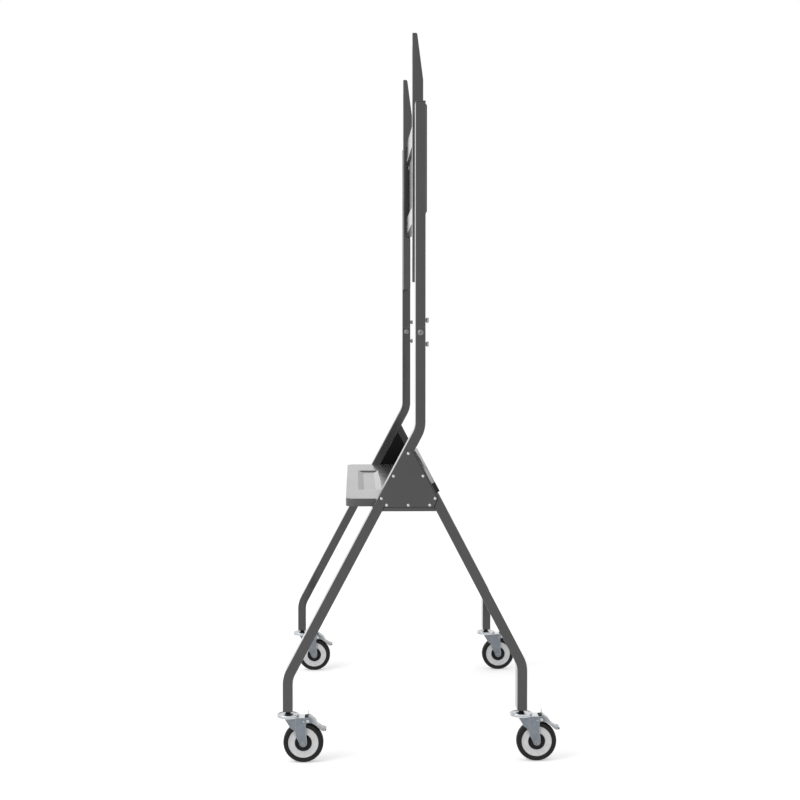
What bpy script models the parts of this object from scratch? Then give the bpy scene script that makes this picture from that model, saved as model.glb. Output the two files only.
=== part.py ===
"""Mobile TV stand: two A-shaped side frames on swivel casters, a shelf and a screen mount between them.

Metres, +Z up, the screen side faces -Y, the width runs along X, and the origin lies on the floor
under the middle of the stand. The right frame is the one at +X.
"""

import math

import bmesh
import bpy
from mathutils import Matrix, Vector

# Fits, and how far a cutter runs past what it cuts
GAP = 0.0003
BORE_CLEARANCE = 0.0003
OVERRUN = 0.005

# Steel tube of the side frames
TUBE_WIDE = 0.060
TUBE_DEEP = 0.025
TUBE_WALL = 0.0015
TUBE_CORNER = 0.003
BEND_RADIUS = 0.068
BEND_STEPS = 6

# Stance of the side frames, depths measured from the front foot
CLEAR_WIDTH = 1.065
WHEELBASE = 0.591
POST_BACK = 0.3337
FRONT_LEAN = 0.532
REAR_LEAN = 0.5225
FRONT_BEND_Z = 0.2185
REAR_BEND_Z = 0.2494
SPLICE_Z = 1.100
POST_TOP_Z = 1.661
TIE_BOTTOM_Z = 0.6385

# Swivel casters
WHEEL_RADIUS = 0.0508
WHEEL_WIDTH = 0.028
WHEEL_SIDE_ROOM = 0.003
CROWN_ROOM = 0.0157
TRAIL = 0.0385
TYRE_DEEP = 0.0123
TYRE_SHOULDER = 0.0050
HUB_RADIUS = 0.021
BOSS_RADIUS = 0.0095
DISH_DEEP = 0.0020
AXLE_RADIUS = 0.004
AXLE_HEAD_RADIUS = 0.0058
AXLE_HEAD_HIGH = 0.0022
RACE_RADIUS = 0.0285
RACE_DEEP = 0.0045
COLLAR_RADIUS = 0.011
COLLAR_HIGH = 0.0115
KINGPIN_RADIUS = 0.006
KINGPIN_HEAD_RADIUS = 0.010
KINGPIN_HEAD_HIGH = 0.0025
INSERT_HIGH = 0.025
PLATE = 0.0025
FORK_TIP_RADIUS = 0.0093
CROWN_FRONT = 0.0104
CROWN_BACK = 0.0040
PEDAL_SHEET = 0.002
PEDAL_SIDE_ROOM = 0.0015
PIVOT_RADIUS = 0.0025
PIVOT_HEAD_RADIUS = 0.0038
PIVOT_HEAD_HIGH = 0.0014

# Places on the brake pedal, each by its height over the tread and its angle about the axle
PEDAL_PIVOT = (0.0073, 78.6)
PEDAL_TIP = (0.0175, 30.6)

# Gusset on the outside of each frame
GUSSET_THICK = 0.002
GUSSET_BACK = 0.3028
RIVET_RADIUS = 0.0035
RIVET_HIGH = 0.0015
INNER_COVER_INSET = 0.001
INNER_COVER_THICK = 0.0025

# Splice that joins each post to its lower tube
SLEEVE_LENGTH = 0.140
SLEEVE_WALL = 0.002
SPLICE_BOLT_Z = 1.0863
SPLICE_BOLT_RADIUS = 0.004
BOLT_HEAD_RADIUS = 0.0075
BOLT_HEAD_HIGH = 0.0035
CLAMP_SCREW_HEIGHTS = {"upper": 1.1172, "lower": 1.0573}
CLAMP_SCREW_RADIUS = 0.003
CLAMP_SCREW_REACH = 0.008
CLAMP_HEAD_RADIUS = 0.0065
CLAMP_HEAD_HIGH = 0.0090
CLAMP_NECK_RADIUS = 0.0052
CLAMP_NECK_HIGH = 0.0030

# Shelf
SHELF_TOP_Z = 0.665
SHELF_DEEP = 0.020
SHELF_SHEET = 0.0015
SHELF_FRONT = 0.146
SHELF_REAR = 0.378
SHELF_CORNER = 0.025
TRAY_LENGTH = 0.595
TRAY_FRONT = 0.180
TRAY_REAR = 0.240
TRAY_SLOPE = 0.013
TRAY_DEEP = 0.0045

# Cross rail on a step in the backs of the rear legs
CROSS_WIDE = 0.0256
CROSS_THICK = 0.010
CROSS_PROUD = 0.006
CROSS_MIDDLE_Z = 0.698
CROSS_CAP = 0.0025
CROSS_PLUG = 0.020

# Screen mount between the posts
RAIL_SHEET = 0.002
RAIL_FRONT = 0.3277
RAIL_REAR = 0.3500
UPPER_RAIL = (1.6006, 1.6539)
LOWER_RAIL = (1.3869, 1.4325)
UPPER_LIP = 0.008
PANEL_FRONT = 0.3376
BRACKET_THICK = 0.004
BRACKET_FRONT = 0.3230
BRACKET_REAR = 0.3520
BRACKET_TOP_Z = 1.662
BRACKET_CHAMFER = 0.004

# Screen arms
ARM_SPACING = 0.800
ARM_WIDE = 0.045
ARM_SHEET = 0.002
ARM_BOTTOM_Z = 1.2175
ARM_TOP_Z = 1.8576
ARM_FRONT = 0.3193
ARM_REAR = 0.3469
ARM_SLOT_RADIUS = 0.0035
ARM_SLOT_HALF = 0.018
ARM_SLOT_HEIGHTS = (1.262, 1.480, 1.580, 1.800)
HOOK_CLEARANCE = 0.0006
HOOK_DROP = 0.010
LIFT_ROOM = 0.018
ARM_TOP_DEEP = 0.0100
ARM_TAPER_Z = 1.738
ARM_MIDDLE_REAR = 0.3368
ARM_LOW_REAR = 0.3411
LOCK_SCREW_Z = 1.3560
LOCK_SCREW_RADIUS = 0.003
LOCK_SCREW_REACH = 0.012
LOCK_HEAD_RADIUS = 0.0055
LOCK_HEAD_HIGH = 0.0045

# Places that follow from the sizes above
AXLE_Z = WHEEL_RADIUS
RACE_Z = 2 * WHEEL_RADIUS + CROWN_ROOM
RACE_TOP = RACE_Z + RACE_DEEP
FOOT_Z = RACE_TOP + COLLAR_HIGH
PEDAL_REACH = TRAIL + (WHEEL_RADIUS + PEDAL_TIP[0]) * math.cos(math.radians(PEDAL_TIP[1]))
FRONT_Y = -(WHEELBASE + PEDAL_REACH - RACE_RADIUS) / 2
REAR_Y = FRONT_Y + WHEELBASE
POST_Y = FRONT_Y + POST_BACK
INNER_X = CLEAR_WIDTH / 2
SIDE_X = INNER_X + TUBE_WIDE / 2
OUTER_X = INNER_X + TUBE_WIDE
POST_BEND_Z = FRONT_BEND_Z + POST_BACK / FRONT_LEAN
HALF_TUBE = TUBE_DEEP / 2

DARK_PAINT = ("dark paint", (0.095, 0.096, 0.097), 0.0, 0.42)
BLACK_PAINT = ("black paint", (0.012, 0.012, 0.013), 0.0, 0.45)
BLACK_PLASTIC = ("black plastic", (0.015, 0.015, 0.016), 0.0, 0.50)
ZINC = ("zinc plated steel", (0.40, 0.43, 0.46), 0.9, 0.35)
RUBBER = ("black rubber", (0.022, 0.022, 0.023), 0.0, 0.65)
GREY_PLASTIC = ("light grey plastic", (0.58, 0.58, 0.59), 0.0, 0.45)

SIDE_PLANE = Matrix(((0, 0, 1), (1, 0, 0), (0, 1, 0))).to_4x4()
FRONT_PLANE = Matrix(((1, 0, 0), (0, 0, -1), (0, 1, 0))).to_4x4()
PLAN_PLANE = Matrix.Identity(4)
ALONG_X = Matrix.Rotation(math.pi / 2, 4, "Y")
ALONG_Y = Matrix.Rotation(-math.pi / 2, 4, "X")
UPRIGHT = Matrix.Identity(4)

for leftover in list(bpy.data.objects):
    bpy.data.objects.remove(leftover, do_unlink=True)
scene = bpy.context.scene
stand = bpy.data.collections.new("mobile tv stand")
scene.collection.children.link(stand)


def evaluated_mesh(holder):
    """The mesh that the object shows, with its curve or modifiers worked out; the object is removed."""
    bpy.context.view_layer.update()
    graph = bpy.context.evaluated_depsgraph_get()
    mesh = bpy.data.meshes.new_from_object(holder.evaluated_get(graph))
    bpy.data.objects.remove(holder, do_unlink=True)
    return mesh


def temporary(data):
    holder = bpy.data.objects.new("temporary", data)
    scene.collection.objects.link(holder)
    return holder


def cleaned(mesh):
    """Weld loose caps and merge triangles that lie in one plane."""
    form = bmesh.new()
    form.from_mesh(mesh)
    bmesh.ops.remove_doubles(form, verts=form.verts, dist=1e-6)
    bmesh.ops.dissolve_limit(form, angle_limit=math.radians(0.5), verts=form.verts, edges=form.edges)
    bmesh.ops.recalc_face_normals(form, faces=form.faces)
    form.to_mesh(mesh)
    form.free()
    return mesh


def flat(outline, low, high, plane=SIDE_PLANE):
    """Sheet or block of a flat outline that fills low to high along the normal of its plane."""
    curve = bpy.data.curves.new("outline", "CURVE")
    curve.dimensions = "2D"
    curve.fill_mode = "BOTH"
    curve.extrude = (high - low) / 2
    spline = curve.splines.new("POLY")
    spline.points.add(len(outline) - 1)
    for point, (across, along) in zip(spline.points, outline):
        point.co = (across, along, 0.0, 1.0)
    spline.use_cyclic_u = True
    mesh = evaluated_mesh(temporary(curve))
    middle = (low + high) / 2
    offset = {0: (middle, 0, 0), 1: (0, middle, 0), 2: (0, 0, middle)}
    normal_axis = 0 if plane is SIDE_PLANE else 1 if plane is FRONT_PLANE else 2
    mesh.transform(Matrix.Translation(offset[normal_axis]) @ plane)
    return cleaned(mesh)


def box(x, y, z):
    """Block between the two values of each pair."""
    form = bmesh.new()
    bmesh.ops.create_cube(form, size=1.0)
    mesh = bpy.data.meshes.new("box")
    form.to_mesh(mesh)
    form.free()
    size = [high - low for low, high in (x, y, z)]
    middle = [(high + low) / 2 for low, high in (x, y, z)]
    mesh.transform(Matrix.Translation(middle) @ Matrix.Diagonal((*size, 1.0)))
    return mesh


def rod(radius, low, high, turn=UPRIGHT, place=(0, 0, 0), sides=24):
    """Round bar from low to high along its axis."""
    form = bmesh.new()
    bmesh.ops.create_cone(
        form, cap_ends=True, segments=sides, radius1=radius, radius2=radius, depth=high - low
    )
    mesh = bpy.data.meshes.new("rod")
    form.to_mesh(mesh)
    form.free()
    mesh.transform(Matrix.Translation(place) @ turn @ Matrix.Translation((0, 0, (low + high) / 2)))
    return mesh


def turned(profile, steps=32, closed=False, turn=UPRIGHT, place=(0, 0, 0)):
    """Round piece from a profile of (radius, height) points that runs down its outer side."""
    mesh = bpy.data.meshes.new("profile")
    links = [(i, i + 1) for i in range(len(profile) - 1)]
    if closed:
        links.append((len(profile) - 1, 0))
    mesh.from_pydata([(radius, 0, height) for radius, height in profile], links, [])
    holder = temporary(mesh)
    screw = holder.modifiers.new("turn", "SCREW")
    screw.steps = steps
    screw.render_steps = steps
    screw.use_merge_vertices = True
    screw.merge_threshold = 1e-6
    shape = evaluated_mesh(holder)
    shape.transform(Matrix.Translation(place) @ turn)
    return cleaned(shape)


def shaped(mesh, joins=(), cuts=()):
    """The mesh with other meshes joined to it, and then others cut from it."""
    holder = temporary(mesh)
    tools = []
    for operation, others in (("UNION", joins), ("DIFFERENCE", cuts)):
        for other in others:
            tool = temporary(other)
            tools.append(tool)
            step = holder.modifiers.new(operation.lower(), "BOOLEAN")
            step.operation = operation
            step.solver = "EXACT"
            step.object = tool
    result = evaluated_mesh(holder)
    for tool in tools:
        bpy.data.objects.remove(tool, do_unlink=True)
    return cleaned(result)


def triangulated(mesh):
    """The mesh in triangles, so that its mirror image has the same ones."""
    form = bmesh.new()
    form.from_mesh(mesh)
    bmesh.ops.triangulate(form, faces=form.faces)
    form.to_mesh(mesh)
    form.free()
    return mesh


def rounded_edges(mesh, radius, chosen, segments=2):
    """Round the edges for which chosen(edge) holds."""
    form = bmesh.new()
    form.from_mesh(mesh)
    edges = [edge for edge in form.edges if chosen(edge)]
    bmesh.ops.bevel(
        form, geom=edges, offset=radius, segments=segments, profile=0.5, affect="EDGES"
    )
    form.to_mesh(mesh)
    form.free()
    return mesh


def mirrored(mesh):
    """Left-hand copy of a right-hand piece."""
    copy = triangulated(mesh).copy()
    copy.transform(Matrix.Diagonal((-1, 1, 1, 1)))
    copy.flip_normals()
    return copy


def piece(name, mesh, finish, place=(0, 0, 0), parent=None):
    """Named sub-part with its own material, its origin at place in its parent's frame."""
    label, colour, metallic, roughness = finish
    mesh.shade_smooth()
    mesh.set_sharp_from_angle(angle=math.radians(35))
    made = bpy.data.objects.new(name, mesh)
    stand.objects.link(made)
    made.parent = parent
    made.location = place
    material = bpy.data.materials.new(f"{name} {label}")
    material.use_nodes = True
    shader = material.node_tree.nodes["Principled BSDF"]
    shader.inputs["Base Color"].default_value = (*colour, 1.0)
    shader.inputs["Metallic"].default_value = metallic
    shader.inputs["Roughness"].default_value = roughness
    if not mesh.materials:
        mesh.materials.append(None)
    made.material_slots[0].link = "OBJECT"
    made.material_slots[0].material = material
    return made


def both_sides(name, mesh, finish):
    """The same piece on the right frame and, mirrored, on the left one."""
    piece(f"right_{name}", mesh, finish)
    piece(f"left_{name}", mirrored(mesh), finish)


def meeting(line_a, line_b):
    """Where two lines cross, each given as a point and a direction."""
    (p, d), (q, e) = line_a, line_b
    det = d[0] * e[1] - d[1] * e[0]
    t = ((q[0] - p[0]) * e[1] - (q[1] - p[1]) * e[0]) / det
    return Vector((p[0] + t * d[0], p[1] + t * d[1]))


def left_of(direction):
    return Vector((-direction[1], direction[0]))


def bent_outline(path, half, end_line=None, overrun=0.0):
    """Side outline of a tube bent along path, with half its depth on each side of the path."""
    points = [Vector(p) for p in path]
    first = (points[1] - points[0]).normalized()
    last = (points[-1] - points[-2]).normalized()
    stations = [(points[0] - first * overrun, first)]
    for before, corner, after in zip(points, points[1:], points[2:]):
        into = (corner - before).normalized()
        out = (after - corner).normalized()
        turn = math.atan2(into[0] * out[1] - into[1] * out[0], into.dot(out))
        reach = BEND_RADIUS * math.tan(abs(turn) / 2)
        side = math.copysign(1.0, turn)
        centre = corner - into * reach + left_of(into) * side * BEND_RADIUS
        for step in range(BEND_STEPS + 1):
            way = Matrix.Rotation(turn * step / BEND_STEPS, 2) @ into
            stations.append((centre - left_of(way) * side * BEND_RADIUS, way))
    stations.append((points[-1] + last * overrun, last))
    sides = []
    for sign in (1, -1):
        edge = [place + left_of(way) * half * sign for place, way in stations]
        if end_line is not None:
            edge[-1] = meeting((edge[-2], last), end_line)
        sides.append(edge)
    return [tuple(p) for p in sides[0] + sides[1][::-1]]


def rounded_tube(outer):
    """Solid bar in the shape of a tube, seen from the side as outer, rounded along its long edges."""
    mesh = flat(outer, INNER_X, OUTER_X)
    ends = len(outer) // 2
    end_middles = [
        (Vector(outer[ends - 1]) + Vector(outer[ends])) / 2,
        (Vector(outer[-1]) + Vector(outer[0])) / 2,
    ]

    def long_edge(edge):
        a, b = (v.co for v in edge.verts)
        middle = (a + b) / 2
        on_side = abs(a.x - b.x) < 1e-6 and min(abs(a.x - INNER_X), abs(a.x - OUTER_X)) < 1e-6
        at_end = any((Vector((middle.y, middle.z)) - end).length < 1e-5 for end in end_middles)
        return on_side and not at_end

    return rounded_edges(mesh, TUBE_CORNER, long_edge)


def tube(outer, inner):
    """Rectangular tube of a side frame, seen from the side as outer and hollow along inner."""
    bore = flat(inner, INNER_X + TUBE_WALL, OUTER_X - TUBE_WALL)
    return shaped(rounded_tube(outer), cuts=[bore])


def arc(centre, radius, start, end, steps):
    """Points of an arc, its angles in degrees."""
    return [
        (
            centre[0] + radius * math.cos(math.radians(start + (end - start) * i / steps)),
            centre[1] + radius * math.sin(math.radians(start + (end - start) * i / steps)),
        )
        for i in range(steps + 1)
    ]


# Side frames: the main tube runs from the front foot up into the lower half of the post
main_path = [
    (FRONT_Y, FOOT_Z),
    (FRONT_Y, FRONT_BEND_Z),
    (POST_Y, POST_BEND_Z),
    (POST_Y, SPLICE_Z),
]
BORE_SIDES = 14
main_outer = bent_outline(main_path, HALF_TUBE)
main_inner = bent_outline(main_path, HALF_TUBE - TUBE_WALL, overrun=OVERRUN)
bolt_bore = rod(
    SPLICE_BOLT_RADIUS + BORE_CLEARANCE,
    INNER_X - OVERRUN,
    OUTER_X + OVERRUN,
    ALONG_X,
    (0, POST_Y, SPLICE_BOLT_Z),
    BORE_SIDES,
)


def clamp_bore(height):
    """Cutter for the hole of a clamp screw, from behind the post into the sleeve."""
    return rod(
        CLAMP_SCREW_RADIUS + BORE_CLEARANCE,
        HALF_TUBE - CLAMP_SCREW_REACH,
        HALF_TUBE + OVERRUN,
        ALONG_Y,
        (SIDE_X, POST_Y, height),
        BORE_SIDES,
    )


main_tube = shaped(
    tube(main_outer, main_inner),
    cuts=[bolt_bore.copy(), clamp_bore(CLAMP_SCREW_HEIGHTS["lower"])],
)
both_sides("main_tube", main_tube, DARK_PAINT)

# The rear leg leans against the back of the main tube, where its end is cut to lie flat
incline = Vector((FRONT_LEAN, 1.0)).normalized()
rear_incline = Vector((-REAR_LEAN, 1.0)).normalized()
main_incline_point = Vector((FRONT_Y, FRONT_BEND_Z))
back_of_main = main_incline_point - left_of(incline) * (HALF_TUBE + GAP)
rear_incline_point = Vector((REAR_Y, REAR_BEND_Z))
front_of_leg = rear_incline_point + left_of(rear_incline) * (HALF_TUBE + GAP)
apex = meeting((rear_incline_point, rear_incline), (back_of_main, incline))
leg_path = [(REAR_Y, FOOT_Z), tuple(rear_incline_point), tuple(apex)]
leg_outer = bent_outline(leg_path, HALF_TUBE, end_line=(back_of_main, incline))
leg_inner = bent_outline(leg_path, HALF_TUBE - TUBE_WALL, overrun=TUBE_DEEP + OVERRUN)

# The tie tube closes the A, with both ends cut to the lean of the legs
TIE_TOP_Z = TIE_BOTTOM_Z + TUBE_DEEP


def between_legs(bottom, top, extra=0.0):
    """Outline between the main tube and the rear leg from one height to another."""
    corners = []
    for height, order in ((bottom, 1), (top, -1)):
        level = ((0.0, height), (1.0, 0.0))
        front = meeting(level, (back_of_main, incline))
        rear = meeting(level, (front_of_leg, rear_incline))
        pair = [(front[0] - extra, height), (rear[0] + extra, height)]
        corners += pair[::order]
    return corners


tie_outer = between_legs(TIE_BOTTOM_Z, TIE_TOP_Z)
tie_inner = between_legs(TIE_BOTTOM_Z + TUBE_WALL, TIE_TOP_Z - TUBE_WALL, extra=OVERRUN)
both_sides("tie_tube", tube(tie_outer, tie_inner), DARK_PAINT)

# A black cover closes the triangle inside the A, flush with the inner faces of the tubes
cover_low = TIE_TOP_Z + GAP
cover_peak = meeting((back_of_main, incline), (front_of_leg, rear_incline))
cover_outline = between_legs(cover_low, cover_low)[:2] + [tuple(cover_peak - Vector((0, 2 * GAP)))]
cover_face = INNER_X + INNER_COVER_INSET
cover = flat(cover_outline, cover_face, cover_face + INNER_COVER_THICK)
both_sides("inner_cover", cover, BLACK_PAINT)

# Gusset plate riveted to the outer faces of the three tubes
GUSSET_HALVES = ((0.0105, 0.7913), (0.0730, 0.6716), (0.0647, 0.6497))
RIVET_PLACES = ((0.0, 0.7841), (0.0369, 0.7274), (0.0672, 0.6713), (0.0540, 0.6546))
gusset_y = FRONT_Y + GUSSET_BACK
gusset_outline = [(gusset_y + half, z) for half, z in GUSSET_HALVES]
gusset_outline += [(gusset_y - half, z) for half, z in GUSSET_HALVES[::-1]]
gusset_face = OUTER_X + GAP + GUSSET_THICK
rivet_spots = [(gusset_y + side * half, z) for half, z in RIVET_PLACES for side in (1, -1) if half]
rivet_spots += [(gusset_y, RIVET_PLACES[0][1]), (gusset_y, RIVET_PLACES[-1][1])]


def dome(radius, high, base, place, steps=10):
    """Rounded head that stands on a face square to X, its foot sunk into the plate by base."""
    profile = [(0.0, high), (radius * 0.7, high * 0.75), (radius, -base), (0.0, -base)]
    return turned(profile, steps, turn=ALONG_X, place=place)


rivets = [
    dome(RIVET_RADIUS, RIVET_HIGH, GUSSET_THICK / 2, (gusset_face, y, z)) for y, z in rivet_spots
]
gusset = shaped(flat(gusset_outline, OUTER_X + GAP, gusset_face), joins=rivets)
both_sides("gusset", gusset, DARK_PAINT)

# Upper posts, sleeved into the main tubes and closed by plastic caps
CAP_THICK = 0.0025
CAP_PLUG = 0.012
post_low = SPLICE_Z + GAP
post_high = POST_TOP_Z - CAP_THICK - GAP


def upright(half, low, high):
    """Side outline of a straight length of the post, half its depth on each side of its axis."""
    front, rear = POST_Y - half, POST_Y + half
    return [(front, low), (front, high), (rear, high), (rear, low)]


upper_post = shaped(
    tube(
        upright(HALF_TUBE, post_low, post_high),
        upright(HALF_TUBE - TUBE_WALL, post_low - OVERRUN, post_high + OVERRUN),
    ),
    cuts=[clamp_bore(CLAMP_SCREW_HEIGHTS["upper"])],
)
both_sides("upper_post", upper_post, DARK_PAINT)

plug_half_deep = HALF_TUBE - TUBE_WALL - GAP
plug_half_wide = TUBE_WIDE / 2 - TUBE_WALL - GAP
cap_top = flat(upright(HALF_TUBE, POST_TOP_Z - CAP_THICK, POST_TOP_Z), INNER_X, OUTER_X)
rounded_edges(cap_top, TUBE_CORNER, lambda edge: edge.verts[0].co.xy == edge.verts[1].co.xy)
cap_plug = box(
    (SIDE_X - plug_half_wide, SIDE_X + plug_half_wide),
    (POST_Y - plug_half_deep, POST_Y + plug_half_deep),
    (POST_TOP_Z - CAP_THICK - CAP_PLUG, POST_TOP_Z - CAP_THICK / 2),
)
both_sides("post_cap", shaped(cap_top, joins=[cap_plug]), BLACK_PLASTIC)

# Splice inside each post: a sleeve, a bolt through both faces and two clamp screws from behind
sleeve_low = SPLICE_Z - SLEEVE_LENGTH / 2
sleeve_high = SPLICE_Z + SLEEVE_LENGTH / 2
sleeve = shaped(
    box(
        (SIDE_X - plug_half_wide, SIDE_X + plug_half_wide),
        (POST_Y - plug_half_deep, POST_Y + plug_half_deep),
        (sleeve_low, sleeve_high),
    ),
    cuts=[
        box(
            (SIDE_X - plug_half_wide + SLEEVE_WALL, SIDE_X + plug_half_wide - SLEEVE_WALL),
            (POST_Y - plug_half_deep + SLEEVE_WALL, POST_Y + plug_half_deep - SLEEVE_WALL),
            (sleeve_low - OVERRUN, sleeve_high + OVERRUN),
        ),
        bolt_bore.copy(),
        clamp_bore(CLAMP_SCREW_HEIGHTS["upper"]),
        clamp_bore(CLAMP_SCREW_HEIGHTS["lower"]),
    ],
)
both_sides("splice_sleeve", sleeve, ZINC)

head_seat = TUBE_WIDE / 2 + GAP
bolt_profile = [
    (0.0, head_seat + BOLT_HEAD_HIGH),
    (BOLT_HEAD_RADIUS * 0.7, head_seat + BOLT_HEAD_HIGH),
    (BOLT_HEAD_RADIUS, head_seat + BOLT_HEAD_HIGH * 0.55),
    (BOLT_HEAD_RADIUS, head_seat),
    (SPLICE_BOLT_RADIUS, head_seat),
    (SPLICE_BOLT_RADIUS, -head_seat),
    (BOLT_HEAD_RADIUS, -head_seat),
    (BOLT_HEAD_RADIUS, -head_seat - BOLT_HEAD_HIGH * 0.55),
    (BOLT_HEAD_RADIUS * 0.7, -head_seat - BOLT_HEAD_HIGH),
    (0.0, -head_seat - BOLT_HEAD_HIGH),
]
SOCKET_RADIUS = 0.0026
socket = rod(
    SOCKET_RADIUS,
    head_seat + BOLT_HEAD_HIGH * 0.35,
    head_seat + BOLT_HEAD_HIGH + OVERRUN,
    ALONG_X,
    (SIDE_X, POST_Y, SPLICE_BOLT_Z),
    sides=6,
)
splice_bolt = shaped(
    turned(bolt_profile, 16, turn=ALONG_X, place=(SIDE_X, POST_Y, SPLICE_BOLT_Z)), cuts=[socket]
)
both_sides("splice_bolt", splice_bolt, ZINC)

screw_seat = HALF_TUBE + GAP
clamp_profile = [
    (0.0, screw_seat + CLAMP_HEAD_HIGH),
    (CLAMP_NECK_RADIUS, screw_seat + CLAMP_HEAD_HIGH),
    (CLAMP_HEAD_RADIUS, screw_seat + CLAMP_HEAD_HIGH - CLAMP_HEAD_RADIUS / 6),
    (CLAMP_HEAD_RADIUS, screw_seat + CLAMP_NECK_HIGH),
    (CLAMP_NECK_RADIUS, screw_seat + CLAMP_NECK_HIGH),
    (CLAMP_NECK_RADIUS, screw_seat),
    (CLAMP_SCREW_RADIUS, screw_seat),
    (CLAMP_SCREW_RADIUS, HALF_TUBE - CLAMP_SCREW_REACH + GAP),
    (0.0, HALF_TUBE - CLAMP_SCREW_REACH + GAP),
]
for level, height in CLAMP_SCREW_HEIGHTS.items():
    clamp_screw = turned(clamp_profile, 12, turn=ALONG_Y, place=(SIDE_X, POST_Y, height))
    both_sides(f"{level}_clamp_screw", clamp_screw, ZINC)

# Shelf: a folded steel tray between the frames, with a shallow trough pressed into its top
shelf_x = INNER_X - GAP
shelf_front = FRONT_Y + SHELF_FRONT
shelf_rear = FRONT_Y + SHELF_REAR


def shelf_outline(inset):
    """Plan of the shelf, its front corners rounded, drawn in by inset all round."""
    radius = SHELF_CORNER - inset
    x = shelf_x - inset
    turn_x = shelf_x - SHELF_CORNER
    turn_y = shelf_front + SHELF_CORNER
    front = arc((-turn_x, turn_y), radius, 180, 270, 5) + arc((turn_x, turn_y), radius, 270, 360, 5)
    return front + [(x, shelf_rear - inset), (-x, shelf_rear - inset)]


def trough(top_z, deep, slope_out):
    """Wedge-sided trough that opens upwards, larger by slope_out than the pressed one."""
    y0 = FRONT_Y + TRAY_FRONT - slope_out
    y1 = FRONT_Y + TRAY_REAR + slope_out
    floor = top_z - deep
    outline = [
        (y0, top_z + OVERRUN),
        (y0, top_z),
        (y0 + TRAY_SLOPE, floor),
        (y1 - TRAY_SLOPE, floor),
        (y1, top_z),
        (y1, top_z + OVERRUN),
    ]
    half = TRAY_LENGTH / 2 + slope_out
    return flat(outline, -half, half)


shelf_bottom = SHELF_TOP_Z - SHELF_DEEP
under_top = SHELF_TOP_Z - SHELF_SHEET
shelf_hollow = shaped(
    flat(shelf_outline(SHELF_SHEET), shelf_bottom - OVERRUN, under_top, PLAN_PLANE),
    cuts=[trough(under_top, TRAY_DEEP, SHELF_SHEET)],
)
shelf = shaped(
    flat(shelf_outline(0.0), shelf_bottom, SHELF_TOP_Z, PLAN_PLANE),
    cuts=[trough(SHELF_TOP_Z, TRAY_DEEP, 0.0), shelf_hollow],
)
piece("shelf", shelf, DARK_PAINT)

# Cross rail on a step in the backs of the rear legs, with a plastic cap on each end
cross_level = ((0.0, CROSS_MIDDLE_Z), (1.0, 0.0))
leg_back = rear_incline_point - left_of(rear_incline) * HALF_TUBE
cross_outer = meeting(cross_level, (leg_back, rear_incline)) - left_of(rear_incline) * CROSS_PROUD


def cross_section(grow=0.0):
    """Section of the cross rail, square to the rear legs, larger all round by grow."""
    half = CROSS_WIDE / 2 + grow
    inward = left_of(rear_incline)
    outer = cross_outer - inward * grow
    inner = cross_outer + inward * (CROSS_THICK + grow)
    return [tuple(p) for p in (
        outer - rear_incline * half,
        outer + rear_incline * half,
        inner + rear_incline * half,
        inner - rear_incline * half,
    )]


def leg_step(grow=0.0):
    """Outline of the step that thins the rear leg from the rail up, larger inwards by grow."""
    foot = cross_outer - rear_incline * (CROSS_WIDE / 2 + GAP + grow)
    seat = foot + left_of(rear_incline) * (CROSS_THICK + GAP + grow)
    rise = rear_incline * (apex - rear_incline_point).length
    return [tuple(p) for p in (foot, foot + rise, seat + rise, seat)]


step_cut = flat(leg_step(), INNER_X - OVERRUN, OUTER_X + OVERRUN)
leg_wall = flat(leg_step(TUBE_WALL), INNER_X - OVERRUN, OUTER_X + OVERRUN)
leg_bore = shaped(flat(leg_inner, INNER_X + TUBE_WALL, OUTER_X - TUBE_WALL), cuts=[leg_wall])
rear_leg = shaped(rounded_tube(leg_outer), cuts=[step_cut, leg_bore])
both_sides("rear_leg", rear_leg, DARK_PAINT)

cap_face = OUTER_X - CROSS_CAP
cross_rail = shaped(
    flat(cross_section(), -cap_face + GAP, cap_face - GAP),
    cuts=[flat(cross_section(-TUBE_WALL), -cap_face - OVERRUN, cap_face + OVERRUN)],
)
piece("rear_cross_rail", cross_rail, BLACK_PAINT)
cross_cap = shaped(
    flat(cross_section(), cap_face, OUTER_X),
    joins=[flat(cross_section(-TUBE_WALL - GAP), cap_face - CROSS_PLUG, cap_face + CROSS_CAP / 2)],
)
both_sides("cross_rail_cap", cross_cap, BLACK_PLASTIC)

# Screen mount: two brackets on the posts carry an upper rail, a lower rail and a back panel
bracket_out = INNER_X - GAP
bracket_in = bracket_out - BRACKET_THICK
mount_x = bracket_in - GAP
bracket_y = (FRONT_Y + BRACKET_FRONT, FRONT_Y + BRACKET_REAR)
bracket_low = LOWER_RAIL[0]
bracket_outline = [
    (bracket_y[0], bracket_low),
    (bracket_y[1] - BRACKET_CHAMFER, bracket_low),
    (bracket_y[1], bracket_low + BRACKET_CHAMFER),
    (bracket_y[1], BRACKET_TOP_Z - BRACKET_CHAMFER),
    (bracket_y[1] - BRACKET_CHAMFER, BRACKET_TOP_Z),
    (bracket_y[0], BRACKET_TOP_Z),
]
both_sides("rail_bracket", flat(bracket_outline, bracket_in, bracket_out), DARK_PAINT)

rail_y = (FRONT_Y + RAIL_FRONT, FRONT_Y + RAIL_REAR)


def channel(front, rear_low, rear_high, low, high):
    """Section of a folded channel that is open to the rear, its two flanges of their own depth."""
    return [
        (front, low),
        (front, high),
        (rear_high, high),
        (rear_high, high - RAIL_SHEET),
        (front + RAIL_SHEET, high - RAIL_SHEET),
        (front + RAIL_SHEET, low + RAIL_SHEET),
        (rear_low, low + RAIL_SHEET),
        (rear_low, low),
    ]


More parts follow.
